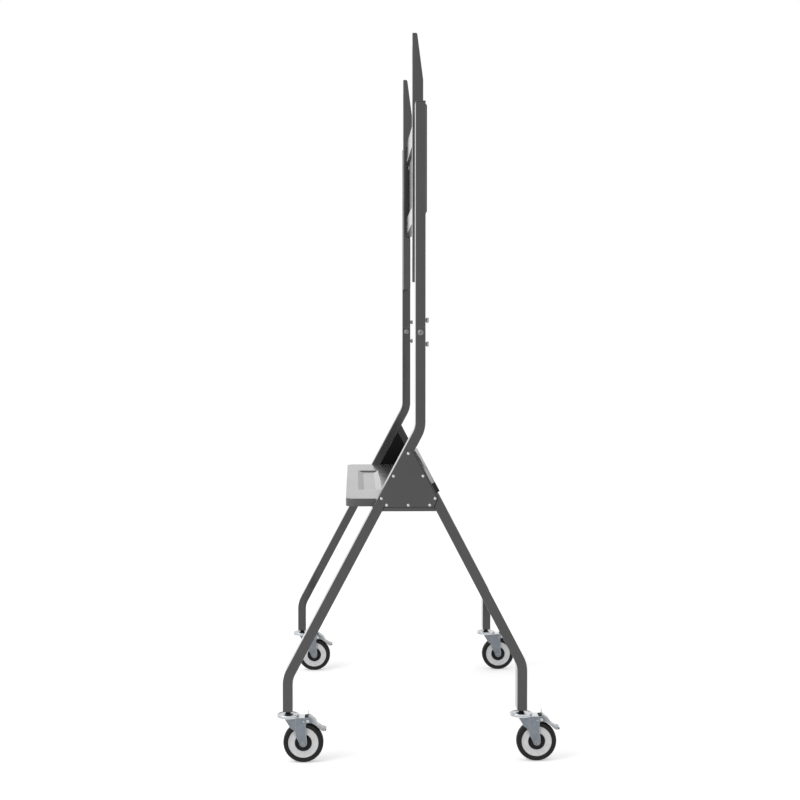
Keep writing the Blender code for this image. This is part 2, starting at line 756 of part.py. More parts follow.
upper_section = channel(rail_y[0], rail_y[1], rail_y[0] + UPPER_LIP, *UPPER_RAIL)
lower_section = channel(rail_y[0], rail_y[1], rail_y[1], *LOWER_RAIL)
panel_section = channel(
    FRONT_Y + PANEL_FRONT, rail_y[1], rail_y[1], LOWER_RAIL[1] + GAP, UPPER_RAIL[0] - GAP
)
piece("upper_rail", flat(upper_section, -mount_x, mount_x), DARK_PAINT)
piece("lower_rail", flat(lower_section, -mount_x, mount_x), DARK_PAINT)
piece("back_panel", flat(panel_section, -mount_x, mount_x), DARK_PAINT)

# Screen arms: each is a folded channel that hooks over the upper rail and slides along both rails
arm_front = FRONT_Y + ARM_FRONT
arm_rear = FRONT_Y + ARM_REAR
notch_y = rail_y[0] - HOOK_CLEARANCE
hook_y = rail_y[0] + UPPER_LIP + HOOK_CLEARANCE
upper_notch_top = UPPER_RAIL[1] + GAP
arm_web = [
    (arm_front, ARM_BOTTOM_Z),
    (arm_front, ARM_TOP_Z),
    (arm_front + ARM_TOP_DEEP, ARM_TOP_Z),
    (arm_front + ARM_TOP_DEEP + 0.0025, ARM_TOP_Z - 0.0035),
    (arm_rear, ARM_TAPER_Z),
    (arm_rear, UPPER_RAIL[1] - HOOK_DROP),
    (hook_y, UPPER_RAIL[1] - HOOK_DROP),
    (hook_y, upper_notch_top),
    (notch_y, upper_notch_top),
    (notch_y, UPPER_RAIL[0] - LIFT_ROOM / 2),
    (FRONT_Y + ARM_MIDDLE_REAR, UPPER_RAIL[0] - LIFT_ROOM),
    (FRONT_Y + ARM_MIDDLE_REAR, LOWER_RAIL[1] + LIFT_ROOM / 6),
    (notch_y, LOWER_RAIL[1] + HOOK_CLEARANCE),
    (notch_y, LOWER_RAIL[0] - LIFT_ROOM / 4),
    (FRONT_Y + ARM_LOW_REAR, LOWER_RAIL[0] - LIFT_ROOM),
    (FRONT_Y + ARM_LOW_REAR, ARM_BOTTOM_Z + 0.004),
    (FRONT_Y + ARM_LOW_REAR - 0.004, ARM_BOTTOM_Z),
]
arm_outer = ARM_WIDE / 2
webs = [
    flat(arm_web, arm_outer - ARM_SHEET, arm_outer),
    flat(arm_web, -arm_outer, ARM_SHEET - arm_outer),
]
face = box(
    (-arm_outer, arm_outer),
    (arm_front, arm_front + ARM_SHEET),
    (ARM_BOTTOM_Z, ARM_TOP_Z),
)


def slot_outline(centre_z, half_length):
    """Upright slot with round ends for the screen's screws."""
    r = ARM_SLOT_RADIUS
    top = arc((0.0, centre_z + half_length), r, 0, 180, 4)
    bottom = arc((0.0, centre_z - half_length), r, 180, 360, 4)
    return top + bottom


slots = [
    flat(slot_outline(z, ARM_SLOT_HALF), arm_front - OVERRUN, arm_front + OVERRUN, FRONT_PLANE)
    for z in ARM_SLOT_HEIGHTS
]
lock_place = (0, FRONT_Y + (ARM_FRONT + ARM_LOW_REAR) / 2, LOCK_SCREW_Z)
lock_bore = rod(
    LOCK_SCREW_RADIUS + BORE_CLEARANCE,
    arm_outer - OVERRUN,
    arm_outer + OVERRUN,
    ALONG_X,
    lock_place,
    BORE_SIDES,
)
arm = shaped(face, joins=webs, cuts=[*slots, lock_bore])
lock_seat = arm_outer + GAP
lock_profile = [
    (0.0, lock_seat + LOCK_HEAD_HIGH),
    (LOCK_HEAD_RADIUS * 0.8, lock_seat + LOCK_HEAD_HIGH),
    (LOCK_HEAD_RADIUS, lock_seat + LOCK_HEAD_HIGH * 0.75),
    (LOCK_HEAD_RADIUS, lock_seat),
    (LOCK_SCREW_RADIUS, lock_seat),
    (LOCK_SCREW_RADIUS, lock_seat - LOCK_SCREW_REACH),
    (0.0, lock_seat - LOCK_SCREW_REACH),
]
lock_screw = turned(lock_profile, 12, turn=ALONG_X, place=lock_place)
for side, arm_mesh, screw_mesh in (
    ("right", arm, lock_screw),
    ("left", mirrored(arm), mirrored(lock_screw)),
):
    sign = 1 if side == "right" else -1
    slider = bpy.data.objects.new(f"{side} arm place", None)
    stand.objects.link(slider)
    slider.location = (sign * ARM_SPACING / 2, 0, 0)
    piece(f"{side}_screen_arm", arm_mesh, DARK_PAINT, parent=slider)
    piece(f"{side}_arm_lock_screw", screw_mesh, ZINC, parent=slider)

# Caster, drawn with its swivel axis at X = Y = 0 and its wheel trailing towards +Y
ROUND_STEPS = 24
TYRE_STEPS = 32
insert = box(
    (-plug_half_wide, plug_half_wide),
    (-plug_half_deep, plug_half_deep),
    (FOOT_Z - 2 * GAP, FOOT_Z + INSERT_HIGH),
)
fork_top = RACE_Z - GAP
fork_under = fork_top - PLATE
rivet_top = fork_under - GAP
stem_profile = [
    (0.0, FOOT_Z - GAP),
    (COLLAR_RADIUS, FOOT_Z - GAP),
    (COLLAR_RADIUS, RACE_TOP),
    (RACE_RADIUS - RACE_DEEP / 3, RACE_TOP),
    (RACE_RADIUS, RACE_TOP - RACE_DEEP / 3),
    (RACE_RADIUS, RACE_Z),
    (KINGPIN_RADIUS, RACE_Z),
    (KINGPIN_RADIUS, rivet_top),
    (KINGPIN_HEAD_RADIUS, rivet_top),
    (KINGPIN_HEAD_RADIUS, rivet_top - KINGPIN_HEAD_HIGH),
    (0.0, rivet_top - KINGPIN_HEAD_HIGH),
]
caster_stem = shaped(turned(stem_profile, ROUND_STEPS), joins=[insert])


def over_tread(height, angle):
    """Place in the caster's side view, by its height over the tread and its angle about the axle."""
    reach = WHEEL_RADIUS + height
    turn = math.radians(angle)
    return (TRAIL + reach * math.cos(turn), AXLE_Z + reach * math.sin(turn))


# Pressed fork: a crown plate on the swivel disc and two cheeks that carry the axle and the pedal
pivot_y, pivot_z = over_tread(*PEDAL_PIVOT)
fork_inside = WHEEL_WIDTH / 2 + WHEEL_SIDE_ROOM
fork_out = fork_inside + PLATE
cheek_outline = [
    (-CROWN_FRONT, fork_top),
    (TRAIL - 0.0329, AXLE_Z + 0.0396),
    (TRAIL - 0.0220, AXLE_Z + 0.0317),
    (TRAIL - 0.0188, AXLE_Z + 0.0187),
    *arc((TRAIL, AXLE_Z), FORK_TIP_RADIUS, 190, 350, 6),
    (TRAIL + 0.0090, AXLE_Z + 0.0060),
    (TRAIL + 0.0065, AXLE_Z + 0.0352),
    (TRAIL + 0.0065, AXLE_Z + 0.0452),
    (TRAIL + 0.0095, AXLE_Z + 0.0482),
    (pivot_y + 0.0120, pivot_z - 0.0087),
    (pivot_y + 0.0130, pivot_z - 0.0067),
    (pivot_y + 0.0060, fork_top - 0.0020),
    (pivot_y + 0.0030, fork_top),
]
right_cheek = flat(cheek_outline, fork_inside, fork_out)
crown_outline = [
    (side * fork_out, y)
    for side, y in (
        (-1, -CROWN_FRONT),
        (1, -CROWN_FRONT),
        (1, TRAIL + CROWN_BACK),
        (-1, TRAIL + CROWN_BACK),
    )
]
crown_plate = flat(crown_outline, fork_under, fork_top, PLAN_PLANE)
crown_disc = rod(RACE_RADIUS - GAP, fork_under, fork_top, sides=ROUND_STEPS)
fork_bores = [
    rod(KINGPIN_RADIUS + BORE_CLEARANCE, fork_under - OVERRUN, fork_top + OVERRUN, sides=BORE_SIDES),
    rod(
        AXLE_RADIUS + BORE_CLEARANCE,
        -fork_out - OVERRUN,
        fork_out + OVERRUN,
        ALONG_X,
        (0, TRAIL, AXLE_Z),
        BORE_SIDES,
    ),
    rod(
        PIVOT_RADIUS + BORE_CLEARANCE,
        -fork_out - OVERRUN,
        fork_out + OVERRUN,
        ALONG_X,
        (0, pivot_y, pivot_z),
        BORE_SIDES,
    ),
]
fork = shaped(crown_plate, joins=[crown_disc, right_cheek, mirrored(right_cheek)], cuts=fork_bores)

# Rubber tyre on a plastic core: a flat of the tread lies on the floor, so its corners stand out
half_width = WHEEL_WIDTH / 2
tread = WHEEL_RADIUS / math.cos(math.pi / TYRE_STEPS)
rim_radius = WHEEL_RADIUS - TYRE_DEEP
tyre_profile = [
    (rim_radius, half_width),
    (tread - TYRE_SHOULDER, half_width),
    (tread - TYRE_SHOULDER / 3, half_width - TYRE_SHOULDER / 3),
    (tread, half_width - TYRE_SHOULDER),
]
tyre_profile += [(radius, -height) for radius, height in tyre_profile[::-1]]
half_step = Matrix.Rotation(math.pi / TYRE_STEPS, 4, "Z")
tyre = turned(tyre_profile, TYRE_STEPS, closed=True, turn=ALONG_X @ half_step)
rim_half = half_width - DISH_DEEP / 2
core_half = [
    (AXLE_RADIUS + BORE_CLEARANCE, fork_inside - GAP),
    (BOSS_RADIUS, fork_inside - GAP),
    (BOSS_RADIUS, rim_half - DISH_DEEP),
    (HUB_RADIUS, rim_half - DISH_DEEP),
    (HUB_RADIUS, rim_half),
    (rim_radius - GAP, rim_half),
]
core_profile = core_half + [(radius, -height) for radius, height in core_half[::-1]]
wheel_core = turned(core_profile, ROUND_STEPS, closed=True, turn=ALONG_X)


def headed_pin(radius, head_radius, head_high, seat):
    """Round pin along X with a low head outside each seat."""
    half = [
        (0.0, seat + head_high),
        (head_radius * 0.75, seat + head_high),
        (head_radius, seat + head_high / 3),
        (head_radius, seat),
        (radius, seat),
    ]
    profile = half + [(r, -height) for r, height in half[::-1]]
    return turned(profile, BORE_SIDES, turn=ALONG_X)


axle = headed_pin(AXLE_RADIUS, AXLE_HEAD_RADIUS, AXLE_HEAD_HIGH, fork_out + GAP)

# Brake pedal, drawn about its pivot: a pressed hood that follows the tread, with a lip to step on
pedal_top = [
    (0.0156, 85.3),
    (0.0184, 80.4),
    (0.0270, 80.9),
    (0.0272, 79.9),
    (0.0193, 76.8),
    (0.0135, 60.4),
    (0.0076, 51.0),
    (0.0115, 37.0),
    PEDAL_TIP,
]
pedal_under = [
    (0.0122, 24.1),
    (0.0082, 26.1),
    (0.0046, 34.0),
    (0.0035, 54.3),
    (0.0038, 66.8),
    (0.0023, 79.7),
    (0.0067, 84.5),
]
hood_inside = [
    (-0.0035, 88.2),
    (0.0134, 88.7),
    (0.0151, 76.9),
    (0.0099, 61.0),
    (0.0044, 50.7),
    (0.0077, 35.8),
    (0.0004, 22.0),
]


def about_pivot(places):
    """The places in the caster's side view, measured from the pedal's pivot."""
    return [(y - pivot_y, z - pivot_z) for y, z in (over_tread(*place) for place in places)]


pedal_half = fork_inside - PEDAL_SIDE_ROOM
hood_half = pedal_half - PEDAL_SHEET
pedal_block = flat(about_pivot(pedal_top + pedal_under), -pedal_half, pedal_half)
pedal_hollow = flat(about_pivot(hood_inside), -hood_half, hood_half)
hood = shaped(pedal_block, cuts=[pedal_hollow])
pivot_pin = headed_pin(PIVOT_RADIUS, PIVOT_HEAD_RADIUS, PIVOT_HEAD_HIGH, fork_out + GAP)
pedal = shaped(hood, joins=[pivot_pin])

CASTERS = {
    "front_right": (SIDE_X, FRONT_Y),
    "front_left": (-SIDE_X, FRONT_Y),
    "rear_right": (SIDE_X, REAR_Y),
    "rear_left": (-SIDE_X, REAR_Y),
}
for corner, (x, y) in CASTERS.items():
    piece(f"{corner}_caster_stem", caster_stem.copy(), ZINC, (x, y, 0))
    swivel = piece(f"{corner}_fork", fork.copy(), ZINC, (x, y, 0))
    piece(f"{corner}_axle", axle.copy(), ZINC, (0, TRAIL, AXLE_Z), swivel)
    piece(f"{corner}_wheel_core", wheel_core.copy(), GREY_PLASTIC, (0, TRAIL, AXLE_Z), swivel)
    piece(f"{corner}_tyre", tyre.copy(), RUBBER, (0, TRAIL, AXLE_Z), swivel)
    piece(f"{corner}_brake_pedal", pedal.copy(), ZINC, (0, pivot_y, pivot_z), swivel)
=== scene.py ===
import math

import bmesh
import bpy
from mathutils import Matrix, Vector


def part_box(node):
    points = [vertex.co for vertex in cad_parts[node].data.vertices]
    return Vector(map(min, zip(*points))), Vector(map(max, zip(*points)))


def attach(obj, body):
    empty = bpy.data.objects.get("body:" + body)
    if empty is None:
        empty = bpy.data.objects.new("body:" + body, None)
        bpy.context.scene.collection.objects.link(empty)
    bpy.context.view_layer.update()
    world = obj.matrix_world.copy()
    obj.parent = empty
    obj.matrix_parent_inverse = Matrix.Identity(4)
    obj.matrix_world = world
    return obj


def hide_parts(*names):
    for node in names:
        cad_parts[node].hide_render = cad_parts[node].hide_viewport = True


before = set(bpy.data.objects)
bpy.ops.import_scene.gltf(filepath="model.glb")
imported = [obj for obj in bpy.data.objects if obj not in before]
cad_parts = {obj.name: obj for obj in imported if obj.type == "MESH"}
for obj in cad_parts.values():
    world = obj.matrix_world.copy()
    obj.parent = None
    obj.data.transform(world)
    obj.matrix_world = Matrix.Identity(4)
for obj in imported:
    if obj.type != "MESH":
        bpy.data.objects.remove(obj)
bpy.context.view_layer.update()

# Main tubes: each side frame starts as one 60 x 25 mm steel tube with 3 mm corners, drawn round a
# bending die at the knee above the foot and again under the post. It is powder coated dark grey,
# with the fine orange peel and the faint cloudiness that such a coat has.
TUBE_WALL = 0.0015
TUBE_CORNER = 0.003
BEND_RADIUS = 0.068
FLAT_AREA = 0.0006
SMOOTH_ANGLE = math.radians(32)
FRONT_LEAN = 0.532
KNEE_Z = 0.2185
COAT_DARK = (0.050, 0.050, 0.0505)
COAT_LIGHT = (0.060, 0.060, 0.0605)

main_low, main_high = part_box("right_main_tube")
tube_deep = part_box("right_upper_post")[1].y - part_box("right_upper_post")[0].y
front_y = main_low.y + tube_deep / 2
post_y = main_high.y - tube_deep / 2
under_post_z = KNEE_Z + (post_y - front_y) / FRONT_LEAN
side_faces = (main_low.x, main_high.x)
middle_x = sum(side_faces) / 2


def across(way):
    """Direction in the side view that lies to the left of a way."""
    return Vector((0, -way.z, way.y))


def along_bends(path, radius, steps=14):
    """Places and directions along straight runs in the side view, with an arc at each corner."""
    points = [Vector((0, y, z)) for y, z in path]
    first = (points[1] - points[0]).normalized()
    stations = [(points[0], first)]
    for before, corner, after in zip(points, points[1:], points[2:]):
        into = (corner - before).normalized()
        out = (after - corner).normalized()
        turn = into.cross(out).x
        angle = math.copysign(into.angle(out), turn)
        side = math.copysign(1.0, turn)
        start = corner - into * radius * math.tan(abs(angle) / 2)
        centre = start + across(into) * side * radius
        for step in range(steps + 1):
            way = Matrix.Rotation(angle * step / steps, 3, "X") @ into
            stations.append((centre - across(way) * side * radius, way))
    stations.append((points[-1], (points[-1] - points[-2]).normalized()))
    return stations


def rounded_rectangle(half_a, half_b, radius, steps=4):
    """Corner points of a rectangle with quarter-round corners, counter-clockwise."""
    points = []
    for quarter, (a, b) in enumerate(((1, 1), (-1, 1), (-1, -1), (1, -1))):
        for step in range(steps + 1):
            angle = math.radians(90 * (quarter + step / steps))
            points.append((
                a * (half_a - radius) + radius * math.cos(angle),
                b * (half_b - radius) + radius * math.sin(angle),
            ))
    return points


def hollow_tube(stations, faces_x, deep, end_plane=None):
    """Rectangular tube with an open bore through the stations; its far end may lie on a plane."""
    form = bmesh.new()
    middle_x = sum(faces_x) / 2
    skins = []
    for inset in (0.0, TUBE_WALL):
        half_wide = (faces_x[1] - faces_x[0]) / 2 - inset
        section = rounded_rectangle(half_wide, deep / 2 - inset, TUBE_CORNER - inset)
        rings = []
        for place, way in stations:
            ring = [Vector((middle_x + a, 0, 0)) + place + across(way) * b for a, b in section]
            rings.append(ring)
        if end_plane is not None:
            point, normal = end_plane
            way = stations[-1][1]
            rings[-1] = [p + way * (point - p).dot(normal) / way.dot(normal) for p in rings[-1]]
        skins.append([[form.verts.new(p) for p in ring] for ring in rings])
    outer, inner = skins
    strips = [(skin[i], skin[i + 1]) for skin in skins for i in range(len(skin) - 1)]
    strips += [(outer[0], inner[0]), (outer[-1], inner[-1])]
    for one, other in strips:
        for i in range(len(one)):
            j = (i + 1) % len(one)
            form.faces.new((one[i], one[j], other[j], other[i]))
    return form


def mesh_of(form, name):
    """Mesh from a working form, its faces turned outwards and shaded smooth between sharp edges."""
    bmesh.ops.recalc_face_normals(form, faces=form.faces)
    if form.calc_volume(signed=True) < 0:
        bmesh.ops.reverse_faces(form, faces=form.faces)
    mesh = bpy.data.meshes.new(name)
    form.to_mesh(mesh)
    form.free()
    mesh.shade_smooth()
    mesh.set_sharp_from_angle(angle=SMOOTH_ANGLE)
    return mesh


def other_side(mesh):
    """The same mesh for the left half of the stand."""
    copy = mesh.copy()
    copy.transform(Matrix.Diagonal((-1, 1, 1, 1)))
    copy.flip_normals()
    return copy


def keep_flats_flat(mesh):
    """Shade wide faces flat and let only their rounded rims curve, by weighting each normal by area."""
    holder = bpy.data.objects.new("shading", mesh)
    bpy.context.scene.collection.objects.link(holder)
    weigh = holder.modifiers.new("weigh", "WEIGHTED_NORMAL")
    weigh.mode = "FACE_AREA"
    weigh.weight = 100
    weigh.keep_sharp = True
    bpy.context.view_layer.update()
    shown = holder.evaluated_get(bpy.context.evaluated_depsgraph_get())
    normals = [tuple(corner.vector) for corner in shown.data.corner_normals]
    bpy.data.objects.remove(holder, do_unlink=True)
    for face in mesh.polygons:
        if face.area > FLAT_AREA:
            for corner in face.loop_indices:
                normals[corner] = tuple(face.normal)
    mesh.normals_split_custom_set(normals)


def fitted(name, mesh, material, body, stands_for=(), place=(0, 0, 0)):
    """Put a finished piece on its body, in the place of the solids that it stands for."""
    if not mesh.has_custom_normals:
        keep_flats_flat(mesh)
    made = bpy.data.objects.new(name, mesh)
    bpy.context.scene.collection.objects.link(made)
    made.location = place
    if not mesh.materials:
        mesh.materials.append(material)
    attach(made, body)
    if stands_for:
        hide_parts(*stands_for)


def fitted_both(name, mesh, material, node=None):
    """The piece on the right frame and its mirror image on the left one; an empty node means none."""
    for side, shape in (("right", mesh), ("left", other_side(mesh))):
        replaced = (f"{side}_{node or name}",) if node != "" else ()
        fitted(f"{side}_{name}_skin", shape, material, "stand_frame", replaced)


def finish(name, dark, light, rough, metallic=0.0, patch=5.0, grain=1400.0, shine=0.5):
    """Surface whose colour and roughness drift over patches and whose grain lifts it a little."""
    material = bpy.data.materials.new(name)
    material.use_nodes = True
    nodes = material.node_tree.nodes
    link = material.node_tree.links.new
    shader = nodes["Principled BSDF"]
    shader.inputs["Metallic"].default_value = metallic
    shader.inputs["Specular IOR Level"].default_value = shine
    place = nodes.new("ShaderNodeTexCoord")
    clouds = nodes.new("ShaderNodeTexNoise")
    clouds.inputs["Scale"].default_value = patch
    clouds.inputs["Detail"].default_value = 6.0
    clouds.inputs["Roughness"].default_value = 0.62
    link(place.outputs["Object"], clouds.inputs["Vector"])
    tint = nodes.new("ShaderNodeValToRGB")
    tint.color_ramp.elements[0].position = 0.36
    tint.color_ramp.elements[0].color = (*dark, 1.0)
    tint.color_ramp.elements[1].position = 0.66
    tint.color_ramp.elements[1].color = (*light, 1.0)
    link(clouds.outputs["Fac"], tint.inputs["Fac"])
    link(tint.outputs["Color"], shader.inputs["Base Color"])
    specks = nodes.new("ShaderNodeTexNoise")
    specks.inputs["Scale"].default_value = grain
    specks.inputs["Detail"].default_value = 2.0
    link(place.outputs["Object"], specks.inputs["Vector"])
    polish = nodes.new("ShaderNodeMapRange")
    polish.inputs["From Min"].default_value = 0.3
    polish.inputs["From Max"].default_value = 0.7
    polish.inputs["To Min"].default_value = rough[0]
    polish.inputs["To Max"].default_value = rough[1]
    link(clouds.outputs["Fac"], polish.inputs["Value"])
    link(polish.outputs["Result"], shader.inputs["Roughness"])
    bump = nodes.new("ShaderNodeBump")
    bump.inputs["Strength"].default_value = 0.06
    bump.inputs["Distance"].default_value = 0.00002
    link(specks.outputs["Fac"], bump.inputs["Height"])
    link(bump.outputs["Normal"], shader.inputs["Normal"])
    return material


dark_coat = finish("dark grey powder coat", COAT_DARK, COAT_LIGHT, (0.07, 0.11))
main_path = [
    (front_y, main_low.z),
    (front_y, KNEE_Z),
    (post_y, under_post_z),
    (post_y, main_high.z),
]
main_form = hollow_tube(along_bends(main_path, BEND_RADIUS), side_faces, tube_deep)
fitted_both("main_tube", mesh_of(main_form, "main tube"), dark_coat)

# Rear legs: the same tube, bent once above the rear foot and cut on the slant at its top, where it
# lies against the back of the main tube and is welded to it. Above the seat of the rear cross rail
# the back of the tube is set in, and a welded strip closes it again. Same powder coat.
REAR_LEAN = 0.5225
REAR_KNEE_Z = 0.2494
WELD_GAP = 0.0003
RAIL_WIDE = 0.0256
RAIL_THICK = 0.010
CUT_PAST_TOP = 0.05
CUT_WIDE = 0.08
STRIP_SHORT = 0.006
STRIP_CLEAR = 0.00002

leg_low, leg_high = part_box("right_rear_leg")
rear_y = leg_high.y - tube_deep / 2
front_rise = Vector((0, FRONT_LEAN, 1)).normalized()
front_side = across(front_rise)
rear_rise = Vector((0, -REAR_LEAN, 1)).normalized()
rear_side = across(rear_rise)
on_back_of_main = Vector((0, front_y, KNEE_Z)) - front_side * (tube_deep / 2 + WELD_GAP)
leg_knee = Vector((0, rear_y, REAR_KNEE_Z))
to_main = (on_back_of_main - leg_knee).dot(front_side) / rear_rise.dot(front_side)
leg_top = leg_knee + rear_rise * to_main
leg_path = [(rear_y, leg_low.z), (leg_knee.y, leg_knee.z), (leg_top.y, leg_top.z)]
leg_form = hollow_tube(
    along_bends(leg_path, BEND_RADIUS),
    side_faces,
    tube_deep,
    end_plane=(on_back_of_main, front_side),
)


def cut_out(mesh, tool):
    """The mesh with a closed form cut out of it."""
    holders = [bpy.data.objects.new("cutting", data) for data in (mesh, mesh_of(tool, "tool"))]
    for holder in holders:
        bpy.context.scene.collection.objects.link(holder)
    step = holders[0].modifiers.new("cut", "BOOLEAN")
    step.operation = "DIFFERENCE"
    step.solver = "EXACT"
    step.object = holders[1]
    bpy.context.view_layer.update()
    shown = holders[0].evaluated_get(bpy.context.evaluated_depsgraph_get())
    result = bpy.data.meshes.new_from_object(shown)
    for holder in holders:
        bpy.data.objects.remove(holder, do_unlink=True)
    result.set_sharp_from_angle(angle=SMOOTH_ANGLE)
    return result


rail_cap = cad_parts["right_cross_rail_cap"].data.vertices
rail_end = [v.co for v in rail_cap if v.co.x > side_faces[1] - 1e-5]
rail_middle = sum(rail_end, Vector()) / len(rail_end)
rail_middle.x = 0.0
rail_foot = rail_middle - rear_rise * (RAIL_WIDE / 2 + WELD_GAP)
step_seat = rail_foot + rear_side * (RAIL_THICK / 2 + WELD_GAP)
step_high = (leg_top - step_seat).length + CUT_PAST_TOP
step_form = bmesh.new()
bmesh.ops.create_cube(step_form, size=1.0)
step_turn = Matrix.Rotation(math.atan(REAR_LEAN), 4, "X")
step_middle = step_seat + rear_rise * step_high / 2 - rear_side * RAIL_THICK
step_place = Matrix.Translation((middle_x, step_middle.y, step_middle.z))
step_size = Matrix.Diagonal((CUT_WIDE, 2 * RAIL_THICK, step_high, 1.0))
step_form.transform(step_place @ step_turn @ step_size)
leg_mesh = cut_out(mesh_of(leg_form, "rear leg"), step_form)
fitted_both("rear_leg", leg_mesh, dark_coat)

back_form = bmesh.new()
bmesh.ops.create_cube(back_form, size=1.0)
back_high = (leg_top - step_seat).length - STRIP_SHORT
back_middle = step_seat + rear_rise * back_high / 2 + rear_side * (TUBE_WALL / 2 + STRIP_CLEAR)
back_place = Matrix.Translation((middle_x, back_middle.y, back_middle.z))
back_wide = side_faces[1] - side_faces[0] - TUBE_WALL
back_size = Matrix.Diagonal((back_wide, TUBE_WALL, back_high, 1.0))
back_form.transform(back_place @ step_turn @ back_size)
fitted_both("rear_leg_back", mesh_of(back_form, "rear leg back"), dark_coat, node="")

# Tie tubes: a short length of the same tube closes each A at the height of the shelf, both ends cut
# to the slant of the legs and welded in. Same powder coat.
TIE_EDGE = 0.0006
SHARP_ANGLE = math.radians(30)
FLAT_ANGLE = math.radians(0.5)


def eased_copy(node, width, segments=3):
    """Copy of a solid with its flat faces made whole again and its sharp edges rounded."""
    form = bmesh.new()
    form.from_mesh(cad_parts[node].data)
    bmesh.ops.remove_doubles(form, verts=form.verts, dist=1e-6)
    bmesh.ops.dissolve_limit(form, angle_limit=FLAT_ANGLE, verts=form.verts, edges=form.edges)
    sharp = [
        edge for edge in form.edges
        if len(edge.link_faces) == 2 and edge.calc_face_angle() > SHARP_ANGLE
    ]
    bmesh.ops.bevel(
        form,
        geom=sharp,
        offset=width,
        segments=segments,
        profile=0.5,
        affect="EDGES",
        clamp_overlap=True,
    )
    return mesh_of(form, node)


for side in ("right", "left"):
    node = f"{side}_tie_tube"
    tie_mesh = eased_copy(node, TIE_EDGE)
    fitted(f"{node}_skin", tie_mesh, dark_coat, "stand_frame", (node,))

# Gussets: a 2 mm steel plate over the joint of the three tubes on the outside of each frame, powder
# coated with them and held by eight zinc plated rivets with domed heads, along its three edges.
GUSSET_HALVES = ((0.0105, 0.7913), (0.0730, 0.6716), (0.0647, 0.6497))
GUSSET_BACK = 0.3028
GUSSET_CORNER = 0.0025
PLATE_EDGE = 0.0005
RIVET_HIGH = 0.0015

SIDE_VIEW = Matrix(((0, 0, 1), (1, 0, 0), (0, 1, 0))).to_4x4()
PLAN_VIEW = Matrix.Identity(4)
ALONG_X = Matrix.Rotation(math.pi / 2, 4, "Y")
ALONG_Y = Matrix.Rotation(-math.pi / 2, 4, "X")


def filleted(points, radius, steps=4, closed=True):
    """The outline with a short curve at each corner in the place of its point."""
    count = len(points)
    eased = []
    for i, corner in enumerate(points):
        if not closed and i in (0, count - 1):
            eased.append(tuple(corner))
            continue
        here, before, after = (Vector(points[k % count]) for k in (i, i - 1, i + 1))
        back = min(radius, (before - here).length * 0.45)
        on = min(radius, (after - here).length * 0.45)
        start = here + (before - here).normalized() * back
        end = here + (after - here).normalized() * on
        for step in range(steps + 1):
            t = step / steps
            point = start * (1 - t) ** 2 + here * 2 * t * (1 - t) + end * t ** 2
            eased.append(tuple(point))
    return eased


def plate(outline, low, high, view=SIDE_VIEW, edge=PLATE_EDGE, rim=0):
    """Sheet of a flat outline between two levels of its view, its rims rounded and of material rim."""
    form = bmesh.new()
    form.faces.new([form.verts.new((u, v, low)) for u, v in outline])
    lifted = bmesh.ops.extrude_face_region(form, geom=list(form.faces), use_keep_orig=True)
    top = [item for item in lifted["geom"] if isinstance(item, bmesh.types.BMVert)]
    bmesh.ops.translate(form, verts=top, vec=(0, 0, high - low))
    bmesh.ops.recalc_face_normals(form, faces=form.faces)
    rims = [
        e for e in form.edges
        if len(e.link_faces) == 2 and any(abs(f.normal.z) > 0.9 for f in e.link_faces)
        and any(abs(f.normal.z) < 0.1 for f in e.link_faces)
    ]
    bmesh.ops.bevel(
        form, geom=rims, offset=edge, segments=2, profile=0.5, affect="EDGES", material=rim
    )
    form.transform(view)
    return form


def turned(profile, steps=64, closed=False, turn=PLAN_VIEW, place=(0, 0, 0)):
    """Round form from (radius, height) points, turned about an axis at a place."""
    form = bmesh.new()
    rings = []
    for radius, height in profile:
        angles = [math.tau * i / steps for i in range(steps)] if radius > 1e-6 else [0.0]
        rings.append([
            form.verts.new((radius * math.cos(a), radius * math.sin(a), height)) for a in angles
        ])
    pairs = list(zip(rings, rings[1:]))
    if closed:
        pairs.append((rings[-1], rings[0]))
    for one, other in pairs:
        for i in range(steps):
            corners = [
                one[i % len(one)],
                one[(i + 1) % steps % len(one)],
                other[(i + 1) % steps % len(other)],
                other[i % len(other)],
            ]
            form.faces.new(list(dict.fromkeys(corners)))
    form.transform(Matrix.Translation(place) @ turn)
    return form


def together(*forms):
    """One form that holds all the given ones."""
    whole = forms[0]
    for form in forms[1:]:
        mesh = bpy.data.meshes.new("part")
        form.to_mesh(mesh)
        form.free()
        whole.from_mesh(mesh)
        bpy.data.meshes.remove(mesh)
    return whole


gusset_low, gusset_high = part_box("right_gusset")
gusset_y = front_y + GUSSET_BACK
plate_back = gusset_low.x
plate_face = gusset_high.x - RIVET_HIGH
gusset_outline = [(gusset_y + half, z) for half, z in GUSSET_HALVES]
gusset_outline += [(gusset_y - half, z) for half, z in GUSSET_HALVES[::-1]]
gusset_form = plate(filleted(gusset_outline, GUSSET_CORNER), plate_back, plate_face)
fitted_both("gusset", mesh_of(gusset_form, "gusset"), dark_coat)

# Gusset shadow lines: a thin black sheet between each plate and the tubes is a painted shadow. It shows
# as a dark line just past the plate's rear and lower edges, where the plate's edge throws shade.
SHADOW_LINE_OUT = 0.0016
SHADOW_LINE_DOWN = 0.0010
SHADOW_LINE_CLEAR = 0.00003
SHADOW_LINE_EDGE = 0.00005
SHADOW_LINE_DARK = (0.012, 0.012, 0.012)
SHADOW_LINE_LIGHT = (0.020, 0.020, 0.020)
